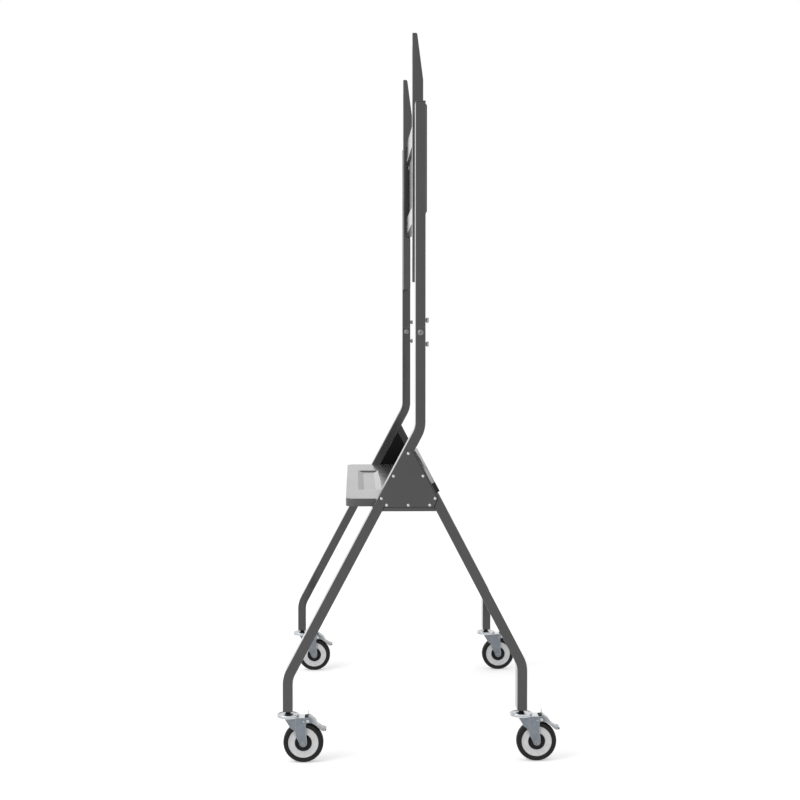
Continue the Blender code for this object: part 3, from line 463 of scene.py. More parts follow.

# Near black: the painted shadow along the plate's rear and lower edges.
shadow_line_paint = finish("painted shadow black", SHADOW_LINE_DARK, SHADOW_LINE_LIGHT, (0.5, 0.65), shine=0.2)
shadow_line_outline = filleted([(y + SHADOW_LINE_OUT, z - SHADOW_LINE_DOWN) for y, z in gusset_outline], GUSSET_CORNER)
shadow_line_low, shadow_line_high = side_faces[1] + SHADOW_LINE_CLEAR, plate_back - SHADOW_LINE_CLEAR
shadow_line_form = plate(shadow_line_outline, shadow_line_low, shadow_line_high, edge=SHADOW_LINE_EDGE)
fitted_both("gusset_shadow_line", mesh_of(shadow_line_form, "gusset shadow line"), shadow_line_paint, node="")

# Gusset rivets: five places down one half of each plate, mirrored to the other, so eight heads in
# all, of bright zinc plated steel. Each is set hard against the plate.
RIVET_PLACES = ((0.0, 0.7841), (0.0369, 0.7274), (0.0672, 0.6713), (0.0540, 0.6546), (0.0, 0.6546))
RIVET_RADIUS = 0.0035
RIVET_DARK = (0.50, 0.51, 0.52)
RIVET_LIGHT = (0.64, 0.65, 0.66)


def domed_head(radius, high, steps=32):
    """Rivet head on the level Z = 0, with a thin rim and a round crown."""
    crown = [(radius * math.sin(a), high * math.cos(a)) for a in (0.0, 0.35, 0.7, 1.05, 1.35)]
    return crown + [(radius, high * 0.12), (radius, -high * 0.2), (0.0, -high * 0.2)]


rivet_spots = [
    (gusset_y + side * half, z) for half, z in RIVET_PLACES for side in (1, -1) if half or side > 0
]
rivet_form = together(*[
    turned(domed_head(RIVET_RADIUS, RIVET_HIGH), 32, turn=ALONG_X, place=(plate_face, y, z))
    for y, z in rivet_spots
])
rivet_zinc = finish(
    "bright rivet zinc", RIVET_DARK, RIVET_LIGHT, (0.12, 0.20), metallic=0.9, patch=90.0
)
fitted_both("gusset_rivets", mesh_of(rivet_form, "gusset rivets"), rivet_zinc, node="gusset")

# Inner covers: a black sheet closes the triangle above each tie tube, flush with the inner faces of
# the tubes, so that the inside of the A reads as one dark panel.
BLACK_DARK = (0.0045, 0.0045, 0.0048)
BLACK_LIGHT = (0.0070, 0.0070, 0.0073)
COVER_EDGE = 0.0004

black_coat = finish("black powder coat", BLACK_DARK, BLACK_LIGHT, (0.30, 0.40), shine=0.08)
for side in ("right", "left"):
    node = f"{side}_inner_cover"
    cover_mesh = eased_copy(node, COVER_EDGE)
    fitted(f"{node}_skin", cover_mesh, black_coat, "stand_frame", (node,))

# Upper posts: straight lengths of the same tube, sleeved onto the main tubes and closed at the top
# by moulded caps in the grey of the tubes, with a soft edge.
CAP_EDGE = 0.0006

post_low, post_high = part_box("right_upper_post")
post_runs = [(Vector((0, post_y, z)), Vector((0, 0, 1))) for z in (post_low.z, post_high.z)]
post_form = hollow_tube(post_runs, side_faces, tube_deep)
fitted_both("upper_post", mesh_of(post_form, "upper post"), dark_coat)

grey_cap = finish(
    "dark grey moulded plastic", COAT_DARK, COAT_LIGHT, (0.30, 0.42), grain=900.0, shine=0.4
)
for side in ("right", "left"):
    node = f"{side}_post_cap"
    cap_mesh = eased_copy(node, CAP_EDGE)
    fitted(f"{node}_skin", cap_mesh, grey_cap, "stand_frame", (node,))

# Splices: a zinc plated sleeve inside each post, one bolt of darker zinc through both with a round
# socket in each domed head, and two round-headed clamp screws from behind that pull it all tight.
BOLT_RADIUS = 0.004
BOLT_HEAD_RADIUS = 0.0075
BOLT_HEAD_HIGH = 0.0035
SOCKET_RADIUS = 0.0034
SOCKET_DEEP = 0.0024
CLAMP_HEAD_RADIUS = 0.0065
CLAMP_NECK_RADIUS = 0.0046
BOLT_DARK = (0.20, 0.20, 0.20)
BOLT_LIGHT = (0.26, 0.26, 0.26)
ZINC_DARK = (0.33, 0.34, 0.35)
ZINC_LIGHT = (0.43, 0.44, 0.45)

bolt_low, bolt_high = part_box("right_splice_bolt")
bolt_z = (bolt_low.z + bolt_high.z) / 2
bolt_seat = bolt_high.x - BOLT_HEAD_HIGH


def button_head(seat, turn):
    """Domed bolt head on a level, with a round socket in its crown."""
    form = turned(
        filleted([
            (0.0, BOLT_HEAD_HIGH - SOCKET_DEEP),
            (SOCKET_RADIUS, BOLT_HEAD_HIGH - SOCKET_DEEP),
            (SOCKET_RADIUS, BOLT_HEAD_HIGH),
            (BOLT_HEAD_RADIUS * 0.62, BOLT_HEAD_HIGH * 0.96),
            (BOLT_HEAD_RADIUS, BOLT_HEAD_HIGH * 0.35),
            (BOLT_HEAD_RADIUS, 0.0),
            (0.0, 0.0),
        ], 0.0006, closed=False),
        48, turn=turn,
    )
    form.transform(Matrix.Translation(seat))
    return form


bolt_zinc = finish("dark zinc", BOLT_DARK, BOLT_LIGHT, (0.30, 0.42), metallic=0.7, patch=90.0)
zinc = finish(
    "zinc plated steel", ZINC_DARK, ZINC_LIGHT, (0.24, 0.40), metallic=0.85, patch=60.0, grain=2600.0
)
far_seat = 2 * middle_x - bolt_seat
bolt_form = together(
    button_head((bolt_seat, post_y, bolt_z), ALONG_X),
    button_head((far_seat, post_y, bolt_z), Matrix.Rotation(-math.pi / 2, 4, "Y")),
    turned(
        [(0.0, bolt_seat), (BOLT_RADIUS, bolt_seat), (BOLT_RADIUS, far_seat), (0.0, far_seat)],
        32, turn=ALONG_X, place=(0, post_y, bolt_z),
    ),
)
fitted_both("splice_bolt", mesh_of(bolt_form, "splice bolt"), bolt_zinc)
for side in ("right", "left"):
    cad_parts[f"{side}_splice_sleeve"].data.materials.clear()
    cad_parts[f"{side}_splice_sleeve"].data.materials.append(zinc)

seat_y = post_y + tube_deep / 2
for level in ("upper", "lower"):
    screw_low, screw_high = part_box(f"right_{level}_clamp_screw")
    screw_z = (screw_low.z + screw_high.z) / 2
    out = screw_high.y - seat_y
    screw_profile = filleted([
        (0.0, out),
        (CLAMP_HEAD_RADIUS * 0.8, out),
        (CLAMP_HEAD_RADIUS, out * 0.85),
        (CLAMP_HEAD_RADIUS, out * 0.38),
        (CLAMP_NECK_RADIUS, out * 0.30),
        (CLAMP_NECK_RADIUS, WELD_GAP),
        (0.0, WELD_GAP),
    ], 0.0007, closed=False)
    screw_form = turned(screw_profile, 40, turn=ALONG_Y, place=(middle_x, seat_y, screw_z))
    fitted_both(f"{level}_clamp_screw", mesh_of(screw_form, "clamp screw"), zinc)

# Shelf: a tray folded from 1.5 mm steel, skirts down all round and the front corners rounded, with
# a shallow trough for pens pressed into its top. It hangs between the frames on hidden screws.
SHELF_SHEET = 0.0015
SHELF_CORNER = 0.025
FOLD_RADIUS = 0.0022
FOLD_STEPS = 4
TROUGH_HALF_LENGTH = 0.2975
TROUGH_FRONT = 0.180
TROUGH_REAR = 0.240
TROUGH_SLOPE = 0.013
TROUGH_END_SLOPE = 0.002
TROUGH_DEEP = 0.0034
TROUGH_CORNER = 0.004
WALL_SLANTS = (0.02, 0.6)
WALL_REACH = 0.002

shelf_low, shelf_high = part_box("shelf")


def arc(centre, radius, start, end, steps=10):
    """Points of an arc in a flat view, its angles in degrees."""
    turns = [math.radians(start + (end - start) * i / steps) for i in range(steps + 1)]
    return [(centre[0] + radius * math.cos(t), centre[1] + radius * math.sin(t)) for t in turns]


def shelf_plan(inset):
    """Plan of the shelf drawn in all round, with the same number of points at every inset."""
    x, rear = shelf_high.x - inset, shelf_high.y - inset
    round_x, round_y = shelf_high.x - SHELF_CORNER, shelf_low.y + SHELF_CORNER
    corner = SHELF_CORNER - inset
    small = FOLD_RADIUS + 0.001 - inset
    plan = arc((-round_x, round_y), corner, 180, 270) + arc((round_x, round_y), corner, 270, 360)
    plan += arc((x - small, rear - small), small, 0, 90, 4)
    plan += arc((-x + small, rear - small), small, 90, 180, 4)
    return plan


def trough_plan(half_length, y_front, y_rear, corner):
    """Rounded outline of the trough at one depth."""
    middle = (y_front + y_rear) / 2
    outline = rounded_rectangle(half_length, (y_rear - y_front) / 2, corner)
    return [(a, middle + b) for a, b in outline]


def joined_rings(form, rings):
    """Faces between rings that have the same number of points; the rings come back as vertices."""
    made = [[form.verts.new(p) for p in ring] for ring in rings]
    for one, other in zip(made, made[1:]):
        for i in range(len(one)):
            j = (i + 1) % len(one)
            form.faces.new((one[i], one[j], other[j], other[i]))
    return made


shelf_top = shelf_high.z
shelf_form = bmesh.new()
skirt_rings = [[(x, y, shelf_low.z) for x, y in shelf_plan(0.0)]]
for step in range(FOLD_STEPS + 1):
    fold = math.radians(90 * step / FOLD_STEPS)
    inset = FOLD_RADIUS * (1 - math.cos(fold))
    height = shelf_top - FOLD_RADIUS * (1 - math.sin(fold))
    skirt_rings.append([(x, y, height) for x, y in shelf_plan(inset)])
skirt = joined_rings(shelf_form, skirt_rings)
trough_y = (front_y + TROUGH_FRONT, front_y + TROUGH_REAR)
trough_rings = []
for share, depth in ((-0.12, 0.0), (0.0, 0.02), (0.12, 0.12), (0.88, 0.88), (1.0, 0.98), (1.12, 1.0)):
    slope, end = TROUGH_SLOPE * share, TROUGH_END_SLOPE * share
    front, rear = trough_y[0] + slope, trough_y[1] - slope
    plan = trough_plan(TROUGH_HALF_LENGTH - end, front, rear, TROUGH_CORNER)
    trough_rings.append([(x, y, shelf_top - TROUGH_DEEP * depth) for x, y in plan])
trough = joined_rings(shelf_form, trough_rings)
shelf_form.faces.new(trough[-1])
rim_edges = []
for ring in (skirt[-1], trough[0]):
    rim_edges += [shelf_form.edges.get((a, b)) for a, b in zip(ring, ring[1:] + ring[:1])]
bmesh.ops.triangle_fill(shelf_form, edges=rim_edges, use_beauty=True, use_dissolve=False)
bmesh.ops.solidify(shelf_form, geom=list(shelf_form.faces), thickness=SHELF_SHEET)
# The trough's slanted walls get their own copies of the coat: the front wall is duller, as painted
# shade, and the rear wall is glossier, as a painted highlight.
for face in shelf_form.faces:
    spot = face.calc_center_median()
    slanted = WALL_SLANTS[0] < abs(face.normal.y) < WALL_SLANTS[1]
    along = abs(spot.x) < TROUGH_HALF_LENGTH
    within = trough_y[0] - WALL_REACH < spot.y < trough_y[1] + WALL_REACH
    if slanted and along and within and spot.z > shelf_top - 0.004:
        face.material_index = 1 if spot.y < sum(trough_y) / 2 else 2
shelf_mesh = mesh_of(shelf_form, "shelf")
shelf_coat = finish("shelf powder coat", COAT_DARK, COAT_LIGHT, (0.15, 0.19), shine=0.8)
# Rougher front wall: painted shade. Glossier, brighter rear wall: painted highlight.
trough_front_shade = finish("trough front wall coat, dulled as painted shade", COAT_DARK, COAT_LIGHT, (0.25, 0.27), shine=0.6)
trough_rear_sheen = finish("trough rear wall coat, glossed as painted highlight", COAT_DARK, COAT_LIGHT, (0.02, 0.03), shine=0.9)
for material in (shelf_coat, trough_front_shade, trough_rear_sheen):
    shelf_mesh.materials.append(material)
fitted("shelf_skin", shelf_mesh, dark_coat, "stand_frame", ("shelf",))

# Rear cross rail: a flat tube let into the backs of the rear legs, coated black, with a thin plug
# moulded from black plastic in each end. It keeps the two frames square.
CROSS_RAIL_EDGE = 0.0009
PLASTIC_DARK = (0.0065, 0.0065, 0.007)
PLASTIC_LIGHT = (0.011, 0.011, 0.0115)

black_plastic = finish(
    "black moulded plastic", PLASTIC_DARK, PLASTIC_LIGHT, (0.45, 0.60), grain=900.0, shine=0.22
)
rail_coat = finish("black rail coat", BLACK_DARK, BLACK_LIGHT, (0.19, 0.23), shine=1.0)
for node, material, slot in (
    ("rear_cross_rail", rail_coat, "black_paint"),
    ("right_cross_rail_cap", black_plastic, "black_plastic"),
    ("left_cross_rail_cap", black_plastic, "black_plastic"),
):
    rail_mesh = eased_copy(node, CROSS_RAIL_EDGE)
    fitted(f"{node}_skin", rail_mesh, material, "stand_frame", (node,))

# Screen mount: an upper and a lower rail folded from 2 mm steel, a back panel between them, and a
# 4 mm bracket on each post that carries all three. The arms hook over the upper rail's rear lip.
RAIL_SHEET = 0.002
RAIL_BEND = 0.0022
RAIL_EDGE = 0.0002
UPPER_RETURN = 0.008
BRACKET_EDGE = 0.0006
# The brackets' coat is darker than the tubes': painted shade for the corner beside each post.
BRACKET_SHADE_DARK = (0.026, 0.026, 0.0265)
BRACKET_SHADE_LIGHT = (0.034, 0.034, 0.0345)


def folded(line, thickness, radius):
    """Section of a sheet folded along a line, with its thickness on the left of the way."""
    curve = [Vector(p) for p in filleted(line, radius, steps=5, closed=False)]
    inside = []
    for i, point in enumerate(curve):
        before, after = curve[max(i - 1, 0)], curve[min(i + 1, len(curve) - 1)]
        way = (after - before).normalized()
        inside.append(point + Vector((-way.y, way.x)) * thickness)
    return [tuple(p) for p in curve + inside[::-1]]


satin_coat = finish("satin dark grey coat", COAT_DARK, COAT_LIGHT, (0.34, 0.42))
# Darker coat on the brackets: painted shade.
bracket_shade_coat = finish("bracket coat darkened as painted shade", BRACKET_SHADE_DARK, BRACKET_SHADE_LIGHT, (0.16, 0.24))
for node in ("upper_rail", "lower_rail", "back_panel"):
    low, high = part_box(node)
    upper_rear = low.y + UPPER_RETURN if node == "upper_rail" else high.y
    line = [(upper_rear, high.z), (low.y, high.z), (low.y, low.z), (high.y, low.z)]
    section = folded(line, RAIL_SHEET, RAIL_BEND)
    rail_mesh = mesh_of(plate(section, low.x, high.x, edge=RAIL_EDGE), node)
    rail_mesh.materials.append(satin_coat if node == "back_panel" else dark_coat)
    rail_mesh.materials.append(satin_coat)
    for face in rail_mesh.polygons:
        face.material_index = int(face.normal.z < -0.9)
    fitted(f"{node}_skin", rail_mesh, dark_coat, "stand_frame", (node,))
for side in ("right", "left"):
    node = f"{side}_rail_bracket"
    bracket_mesh = eased_copy(node, BRACKET_EDGE)
    fitted(f"{node}_skin", bracket_mesh, bracket_shade_coat, "stand_frame", (node,))

# Screen arms: each is folded from 2 mm steel into a channel with slots for the screen's screws, and
# notched at the back to hook over the rails. A zinc plated screw locks it in place.
ARM_EDGE = 0.0005
LOCK_EDGE = 0.0004

for side in ("right", "left"):
    body = f"{side}_arm"
    node = f"{side}_screen_arm"
    fitted(f"{node}_skin", eased_copy(node, ARM_EDGE, 2), dark_coat, body, (node,))
    node = f"{side}_arm_lock_screw"
    fitted(f"{node}_skin", eased_copy(node, LOCK_EDGE, 2), zinc, body, (node,))

# Caster swivels: the upper race is pressed from thick sheet with a rolled rim, its collar and
# kingpin are turned, all zinc plated bright. A black moulded insert holds them in the foot.
RACE_RADIUS = 0.0285
RACE_LOW = 0.1173
RACE_HIGH = 0.1232
INSERT_HALF_LONG = 0.0282
INSERT_HALF_WIDE = 0.0107
INSERT_CORNER = 0.0015
INSERT_DOWN = 0.0006
INSERT_UP = 0.020
BRIGHT_DARK = (0.52, 0.54, 0.56)
BRIGHT_LIGHT = (0.66, 0.68, 0.70)

caster_places = {}
for corner in ("front_right", "front_left", "rear_right", "rear_left"):
    low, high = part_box(f"{corner}_caster_stem")
    caster_places[corner] = ((low.x + high.x) / 2, (low.y + high.y) / 2, 0.0)
foot_z = main_low.z
stem_profile = filleted([
    (0.0, foot_z - 0.0004),
    (0.0052, foot_z - 0.0004),
    (0.0052, RACE_HIGH + 0.0012),
    (0.0110, RACE_HIGH + 0.0008),
    (0.0150, RACE_HIGH - 0.0014),
    (0.0215, RACE_HIGH - 0.0014),
    (0.0240, RACE_HIGH),
    (0.0270, RACE_HIGH),
    (RACE_RADIUS, RACE_HIGH - 0.0014),
    (RACE_RADIUS, RACE_LOW + 0.0004),
    (0.0275, RACE_LOW),
    (0.0060, RACE_LOW),
    (0.0060, RACE_LOW - 0.0033),
    (0.0100, RACE_LOW - 0.0033),
    (0.0092, RACE_LOW - 0.0055),
    (0.0, RACE_LOW - 0.0057),
], 0.0009, closed=False)
bright_zinc = finish(
    "bright zinc plate", BRIGHT_DARK, BRIGHT_LIGHT, (0.16, 0.30), metallic=0.95, patch=80.0
)
stem_mesh = mesh_of(turned(stem_profile, 72), "caster swivel")
insert_outline = rounded_rectangle(INSERT_HALF_LONG, INSERT_HALF_WIDE, INSERT_CORNER)
insert_form = plate(insert_outline, foot_z - INSERT_DOWN, foot_z + INSERT_UP, PLAN_VIEW)
# A black ring round the kingpin, from the race up to the foot, makes the gap between them dark.
neck_form = turned(
    filleted([
        (0.0053, RACE_HIGH + 0.0014),
        (0.0066, RACE_HIGH + 0.0014),
        (0.0066, foot_z - 0.0005),
        (0.0053, foot_z - 0.0005),
    ], 0.0004),
    32, closed=True,
)
insert_mesh = mesh_of(together(insert_form, neck_form), "caster insert")
for corner, place in caster_places.items():
    node = f"{corner}_caster_stem"
    body = "stand_frame"
    fitted(f"{node}_skin", stem_mesh, bright_zinc, body, (node,), place)
    fitted(f"{corner}_foot_insert", insert_mesh, black_plastic, body, (), place)

# Caster forks: a crown that turns on the race and two cheeks, pressed from one 2.5 mm sheet, with a
# straight rib proud of the slanted web in front of it. Zinc plated with a bluish cast.
TRAIL = 0.0385
AXLE_Z = 0.0508
AXLE = (0.0, TRAIL, AXLE_Z)
FORK_INSIDE = 0.017
FORK_SHEET = 0.0025
FORK_TOP = 0.1170
RIB_PROUD = 0.0009
RIB_INSET = 0.0004
CHEEK_CORNER = 0.0012
CHEEK_EDGE = 0.0004
TIP_RADIUS = 0.0093
CROWN_RADIUS = 0.0282
CROWN_REAR = 0.0425
HEAD_AT = (0.0397, 0.1057)
BLUE_DARK = (0.175, 0.196, 0.220)
BLUE_LIGHT = (0.220, 0.243, 0.270)
# Paler zinc for the cheeks' rounded rims, a painted highlight along their edges; the pivot pins use it
# too.
SHEEN_ZINC_DARK = (0.42, 0.44, 0.46)
SHEEN_ZINC_LIGHT = (0.58, 0.60, 0.62)
# The crown's zinc is far paler and smoother than the cheeks': a painted reflection of the bright sky on
# its top.
CROWN_SHEEN_DARK = (0.62, 0.64, 0.66)
CROWN_SHEEN_LIGHT = (0.72, 0.74, 0.76)

fork_out = FORK_INSIDE + FORK_SHEET
tip = arc((TRAIL, AXLE_Z), TIP_RADIUS, 190, 350, 14)
web_outline = [
    (-0.0104, FORK_TOP - 0.0006),
    (0.0056, 0.0904),
    (0.0165, 0.0825),
    (0.0197, 0.0695),
    *tip,
    (0.0475, 0.0568),
    (0.0450, 0.0860),
    (0.0450, 0.0995),
    (0.0480, 0.1025),
    (0.0620, 0.1020),
    (0.0630, 0.1036),
    (0.0558, FORK_TOP - 0.0026),
    (0.0528, FORK_TOP - 0.0006),
]
rib_outline = [
    (0.0182, 0.0880),
    (0.0197, 0.0690),
    *tip,
    (0.0470, 0.0568),
    (0.0443, 0.0860),
    (0.0438, FORK_TOP - 0.0004),
    (0.0190, FORK_TOP - 0.0004),
]
meets = math.degrees(math.asin(fork_out / CROWN_RADIUS))
crown_outline = [
    (fork_out, CROWN_REAR),
    *arc((0, 0), CROWN_RADIUS, 90 - meets, -270 + meets, 40),
    (-fork_out, CROWN_REAR),
]
crown_mesh = mesh_of(plate(crown_outline, FORK_TOP - FORK_SHEET, FORK_TOP, PLAN_VIEW), "fork crown")
fork_forms = []
for sign in (1, -1):
    for outline, inner, outer in (
        (web_outline, FORK_INSIDE, fork_out - RIB_PROUD),
        (rib_outline, FORK_INSIDE + RIB_INSET, fork_out),
    ):
        low, high = sorted((sign * inner, sign * outer))
        cheek = filleted(outline, CHEEK_CORNER, 3)
        # rim=1: the rims take the pale zinc, a painted edge highlight.
        fork_forms.append(plate(cheek, low, high, edge=CHEEK_EDGE, rim=1))
fork_mesh = mesh_of(together(*fork_forms), "caster fork")
fork_heads = []
for sign in (1, -1):
    head_turn = Matrix.Rotation(sign * math.pi / 2, 4, "Y")
    head_place = (sign * fork_out, *HEAD_AT)
    fork_heads.append(turned(domed_head(0.0026, 0.0013), 24, turn=head_turn, place=head_place))
heads_mesh = mesh_of(together(*fork_heads), "fork rivets")
blue_zinc = finish(
    "blue zinc plate", BLUE_DARK, BLUE_LIGHT, (0.30, 0.46), metallic=0.75, patch=50.0
)
# Pale zinc: a painted highlight on the fork rims, and the pivot pins' own finish.
pale_zinc_and_rim_sheen = finish(
    "pale zinc, painted highlight on fork rims", SHEEN_ZINC_DARK, SHEEN_ZINC_LIGHT, (0.20, 0.32), metallic=0.9, patch=60.0
)
# Pale, smooth crown zinc: a painted reflection on the crown's top.
crown_sheen_zinc = finish(
    "crown zinc paled as painted reflection", CROWN_SHEEN_DARK, CROWN_SHEEN_LIGHT, (0.08, 0.14), metallic=0.95, patch=60.0
)
fork_mesh.materials.append(blue_zinc)
fork_mesh.materials.append(pale_zinc_and_rim_sheen)
for corner, place in caster_places.items():
    node = f"{corner}_fork"
    body = f"{corner}_caster"
    fitted(f"{node}_skin", fork_mesh, blue_zinc, body, (node,), place)
    fitted(f"{corner}_fork_crown", crown_mesh, crown_sheen_zinc, body, (node,), place)
    fitted(f"{corner}_fork_rivets", heads_mesh, zinc, body, (), place)

# Caster axles: a turned bolt of dull, spotted zinc plated steel through both cheeks and the wheel,
# with a low domed head pressed up on each side.
AXLE_DARK = (0.14, 0.15, 0.16)
AXLE_LIGHT = (0.34, 0.35, 0.36)


def mirrored(half, closed=False):
    """Whole profile from its upper half; a closed one also comes back to its first point."""
    below = half[::-1][1:-1] if closed else half[::-1][1:]
    return half + [(radius, -height) for radius, height in below]


axle_low, axle_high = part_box("front_right_axle")
axle_half = (axle_high.x - axle_low.x) / 2
axle_upper = filleted([
    (0.0, axle_half - 0.0006),
    (0.0022, axle_half - 0.0006),
    (0.0026, axle_half),
    (0.0044, axle_half),
    (0.0058, axle_half - 0.0010),
    (0.0058, fork_out + 0.0003),
    (0.0040, fork_out + 0.0003),
    (0.0040, 0.0),
], 0.0003, closed=False)
axle_zinc = finish(
    "dull grey zinc", AXLE_DARK, AXLE_LIGHT, (0.30, 0.50), metallic=0.8, patch=420.0
)
axle_mesh = mesh_of(turned(mirrored(axle_upper), 40, turn=ALONG_X, place=AXLE), "caster axle")
for corner, place in caster_places.items():
    node = f"{corner}_axle"
    fitted(f"{node}_skin", axle_mesh, axle_zinc, f"{corner}_caster", (node,), place)

# Wheels: a light grey moulded core with a dished face, a black hub cover pressed into it, and a
# black rubber tyre moulded round the rim, its shoulders rounded and its tread nearly flat.
WHEEL_RADIUS = 0.0508
RIM_RADIUS = 0.0385
HUB_RADIUS = 0.0210
HALF_WIDE = 0.014
RUBBER_DARK = (0.005, 0.005, 0.0053)
RUBBER_LIGHT = (0.010, 0.010, 0.0104)
PALE_DARK = (0.60, 0.60, 0.61)
PALE_LIGHT = (0.69, 0.69, 0.70)

tyre_half = filleted([
    (RIM_RADIUS, 0.0),
    (RIM_RADIUS, HALF_WIDE - 0.0006),
    (RIM_RADIUS + 0.0012, HALF_WIDE),
    (WHEEL_RADIUS - 0.0048, HALF_WIDE),
    (WHEEL_RADIUS - 0.0012, HALF_WIDE - 0.0026),
    (WHEEL_RADIUS, HALF_WIDE - 0.0075),
    (WHEEL_RADIUS, 0.0),
], 0.0022, closed=False)
tyre_profile = mirrored(tyre_half, closed=True)
rubber = finish(
    "black rubber", RUBBER_DARK, RUBBER_LIGHT, (0.55, 0.72), patch=90.0, grain=3000.0, shine=0.28
)
tyre_mesh = mesh_of(turned(tyre_profile, 128, closed=True, turn=ALONG_X, place=AXLE), "tyre")

rim_face = HALF_WIDE - 0.0010
core_half = filleted([
    (0.0180, 0.0),
    (0.0180, rim_face - 0.0030),
    (HUB_RADIUS + 0.0004, rim_face - 0.0030),
    (HUB_RADIUS + 0.0010, rim_face - 0.0004),
    (0.0260, rim_face - 0.0010),
    (0.0330, rim_face - 0.0010),
    (0.0362, rim_face),
    (RIM_RADIUS - 0.0004, rim_face - 0.0002),
    (RIM_RADIUS - 0.0002, rim_face - 0.0010),
    (RIM_RADIUS - 0.0002, 0.0),
], 0.0006, closed=False)
core_profile = mirrored(core_half, closed=True)
pale_plastic = finish(
    "light grey moulded plastic", PALE_DARK, PALE_LIGHT, (0.36, 0.50), patch=70.0
)
core_mesh = mesh_of(turned(core_profile, 112, closed=True, turn=ALONG_X, place=AXLE), "wheel core")

boss_face = FORK_INSIDE - 0.0003
hub_half = filleted([
    (0.0043, 0.0),
    (0.0043, boss_face),
    (0.0092, boss_face),
    (0.0095, rim_face - 0.0032),
    (0.0130, rim_face - 0.0040),
    (0.0185, rim_face - 0.0026),
    (HUB_RADIUS, rim_face - 0.0012),
    (HUB_RADIUS, rim_face - 0.0028),
    (0.0179, rim_face - 0.0032),
    (0.0179, 0.0),
], 0.0005, closed=False)
hub_profile = mirrored(hub_half, closed=True)
hub_mesh = mesh_of(turned(hub_profile, 80, closed=True, turn=ALONG_X, place=AXLE), "hub cover")
for corner, place in caster_places.items():
    body = f"{corner}_wheel"
    fitted(f"{corner}_tyre_skin", tyre_mesh, rubber, body, (f"{corner}_tyre",), place)
    core_node = f"{corner}_wheel_core"
    fitted(f"{core_node}_skin", core_mesh, pale_plastic, body, (core_node,), place)
    fitted(f"{corner}_hub_cover", hub_mesh, black_plastic, body, (core_node,), place)

# Brake pedals: a zinc plated steel hood on a pivot pin, bent down over the tyre and rolled up at
# its end into a lip for the foot, with a black moulded cam block under its front.
PEDAL_HALF = 0.0155
PEDAL_SHEET = 0.0020
PEDAL_BEND = 0.0030
PEDAL_EDGE = 0.0003
TAB_HALF = 0.0040
CAM_HALF = 0.0125
PIVOT = (0.0, 0.0500, 0.1078)
PEDAL_DARK = (0.27, 0.28, 0.29)
PEDAL_LIGHT = (0.36, 0.37, 0.38)

hood_top = [
    (0.0504, 0.1185),
    (0.0545, 0.1190),
    (0.0702, 0.1067),
    (0.0753, 0.0962),
    (0.0882, 0.0883),
    (0.0930, 0.0872),
]
hood_under = [
    (0.0925, 0.0815),
    (0.0900, 0.0800),
    (0.0844, 0.0820),
    (0.0702, 0.0951),
    (0.0600, 0.1012),
    (0.0500, 0.1032),
]
cheek_outline = filleted(hood_top + hood_under, 0.0014, 3)
cover_line = [
    (0.0500, 0.1178),
    (0.0545, 0.1190),
    (0.0702, 0.1067),
    (0.0753, 0.0962),
    (0.0882, 0.0883),
    (0.0968, 0.0872),
    (0.0971, 0.0812),
    (0.0930, 0.0808),
]
cover_section = folded(cover_line[::-1], PEDAL_SHEET, PEDAL_BEND)
tab_section = folded([(0.0522, 0.1180), (0.0512, 0.1308)], 0.0012, 0.001)
pedal_forms = [plate(cover_section, -PEDAL_HALF, PEDAL_HALF, edge=PEDAL_EDGE)]
for sign in (1, -1):
    low, high = sorted((sign * (PEDAL_HALF - PEDAL_SHEET), sign * PEDAL_HALF))
    pedal_forms.append(plate(cheek_outline, low, high, edge=PEDAL_EDGE))
pedal_forms.append(plate(tab_section, -TAB_HALF, TAB_HALF, edge=0.0002))
pin_half = [
    (0.0, fork_out + 0.0017),
    (0.0026, fork_out + 0.0015),
    (0.0038, fork_out + 0.0007),
    (0.0038, fork_out + 0.0003),
    (0.0025, fork_out + 0.0003),
    (0.0025, 0.0),
]
pin_mesh = mesh_of(turned(mirrored(pin_half), 32, turn=ALONG_X, place=PIVOT), "pivot pin")
pedal_mesh = mesh_of(together(*pedal_forms), "brake pedal")
cam_outline = filleted([
    (0.0436, 0.1085),
    (0.0436, 0.1182),
    (0.0508, 0.1188),
    (0.0530, 0.1165),
    (0.0560, 0.1110),
    (0.0540, 0.1060),
], 0.0012, 3)
cam_mesh = mesh_of(plate(cam_outline, -CAM_HALF, CAM_HALF), "cam block")
pedal_zinc = finish(
    "dull zinc plate", PEDAL_DARK, PEDAL_LIGHT, (0.12, 0.22), metallic=0.75, patch=60.0
)
for corner, place in caster_places.items():
    node = f"{corner}_brake_pedal"
    body = f"{corner}_pedal"
    fitted(f"{node}_skin", pedal_mesh, pedal_zinc, body, (node,), place)
    fitted(f"{corner}_pivot_pin", pin_mesh, pale_zinc_and_rim_sheen, body, (node,), place)
    fitted(f"{corner}_cam_block", cam_mesh, black_plastic, body, (), place)

# Studio: a pale floor and backdrop that read as white, an even sky of light and one large soft lamp
# above the front, so that a colour renders about as it is written.
FLOOR_SIZE = 40.0
SKY = 0.80
FLOOR_GREY = 0.80
FLOOR_GLOW = 0.38
LAMP_PLACE = (2.6, -3.4, 4.4)
LAMP_AIM = (0, 0, 0.8)
LAMP_SIZE = 3.0
LAMP_POWER = 110.0


def seen_directly(nodes, link):
    """1 for what the camera, a mirror image or a clear piece looks at, 0 for light on surfaces."""
    path = nodes.new("ShaderNodeLightPath")
    first = nodes.new("ShaderNodeMath")
    first.operation = "MAXIMUM"
    second = nodes.new("ShaderNodeMath")
    second.operation = "MAXIMUM"
    link(path.outputs["Is Camera Ray"], first.inputs[0])
    link(path.outputs["Is Glossy Ray"], first.inputs[1])
    link(first.outputs[0], second.inputs[0])
    link(path.outputs["Is Transmission Ray"], second.inputs[1])
    return second.outputs[0]


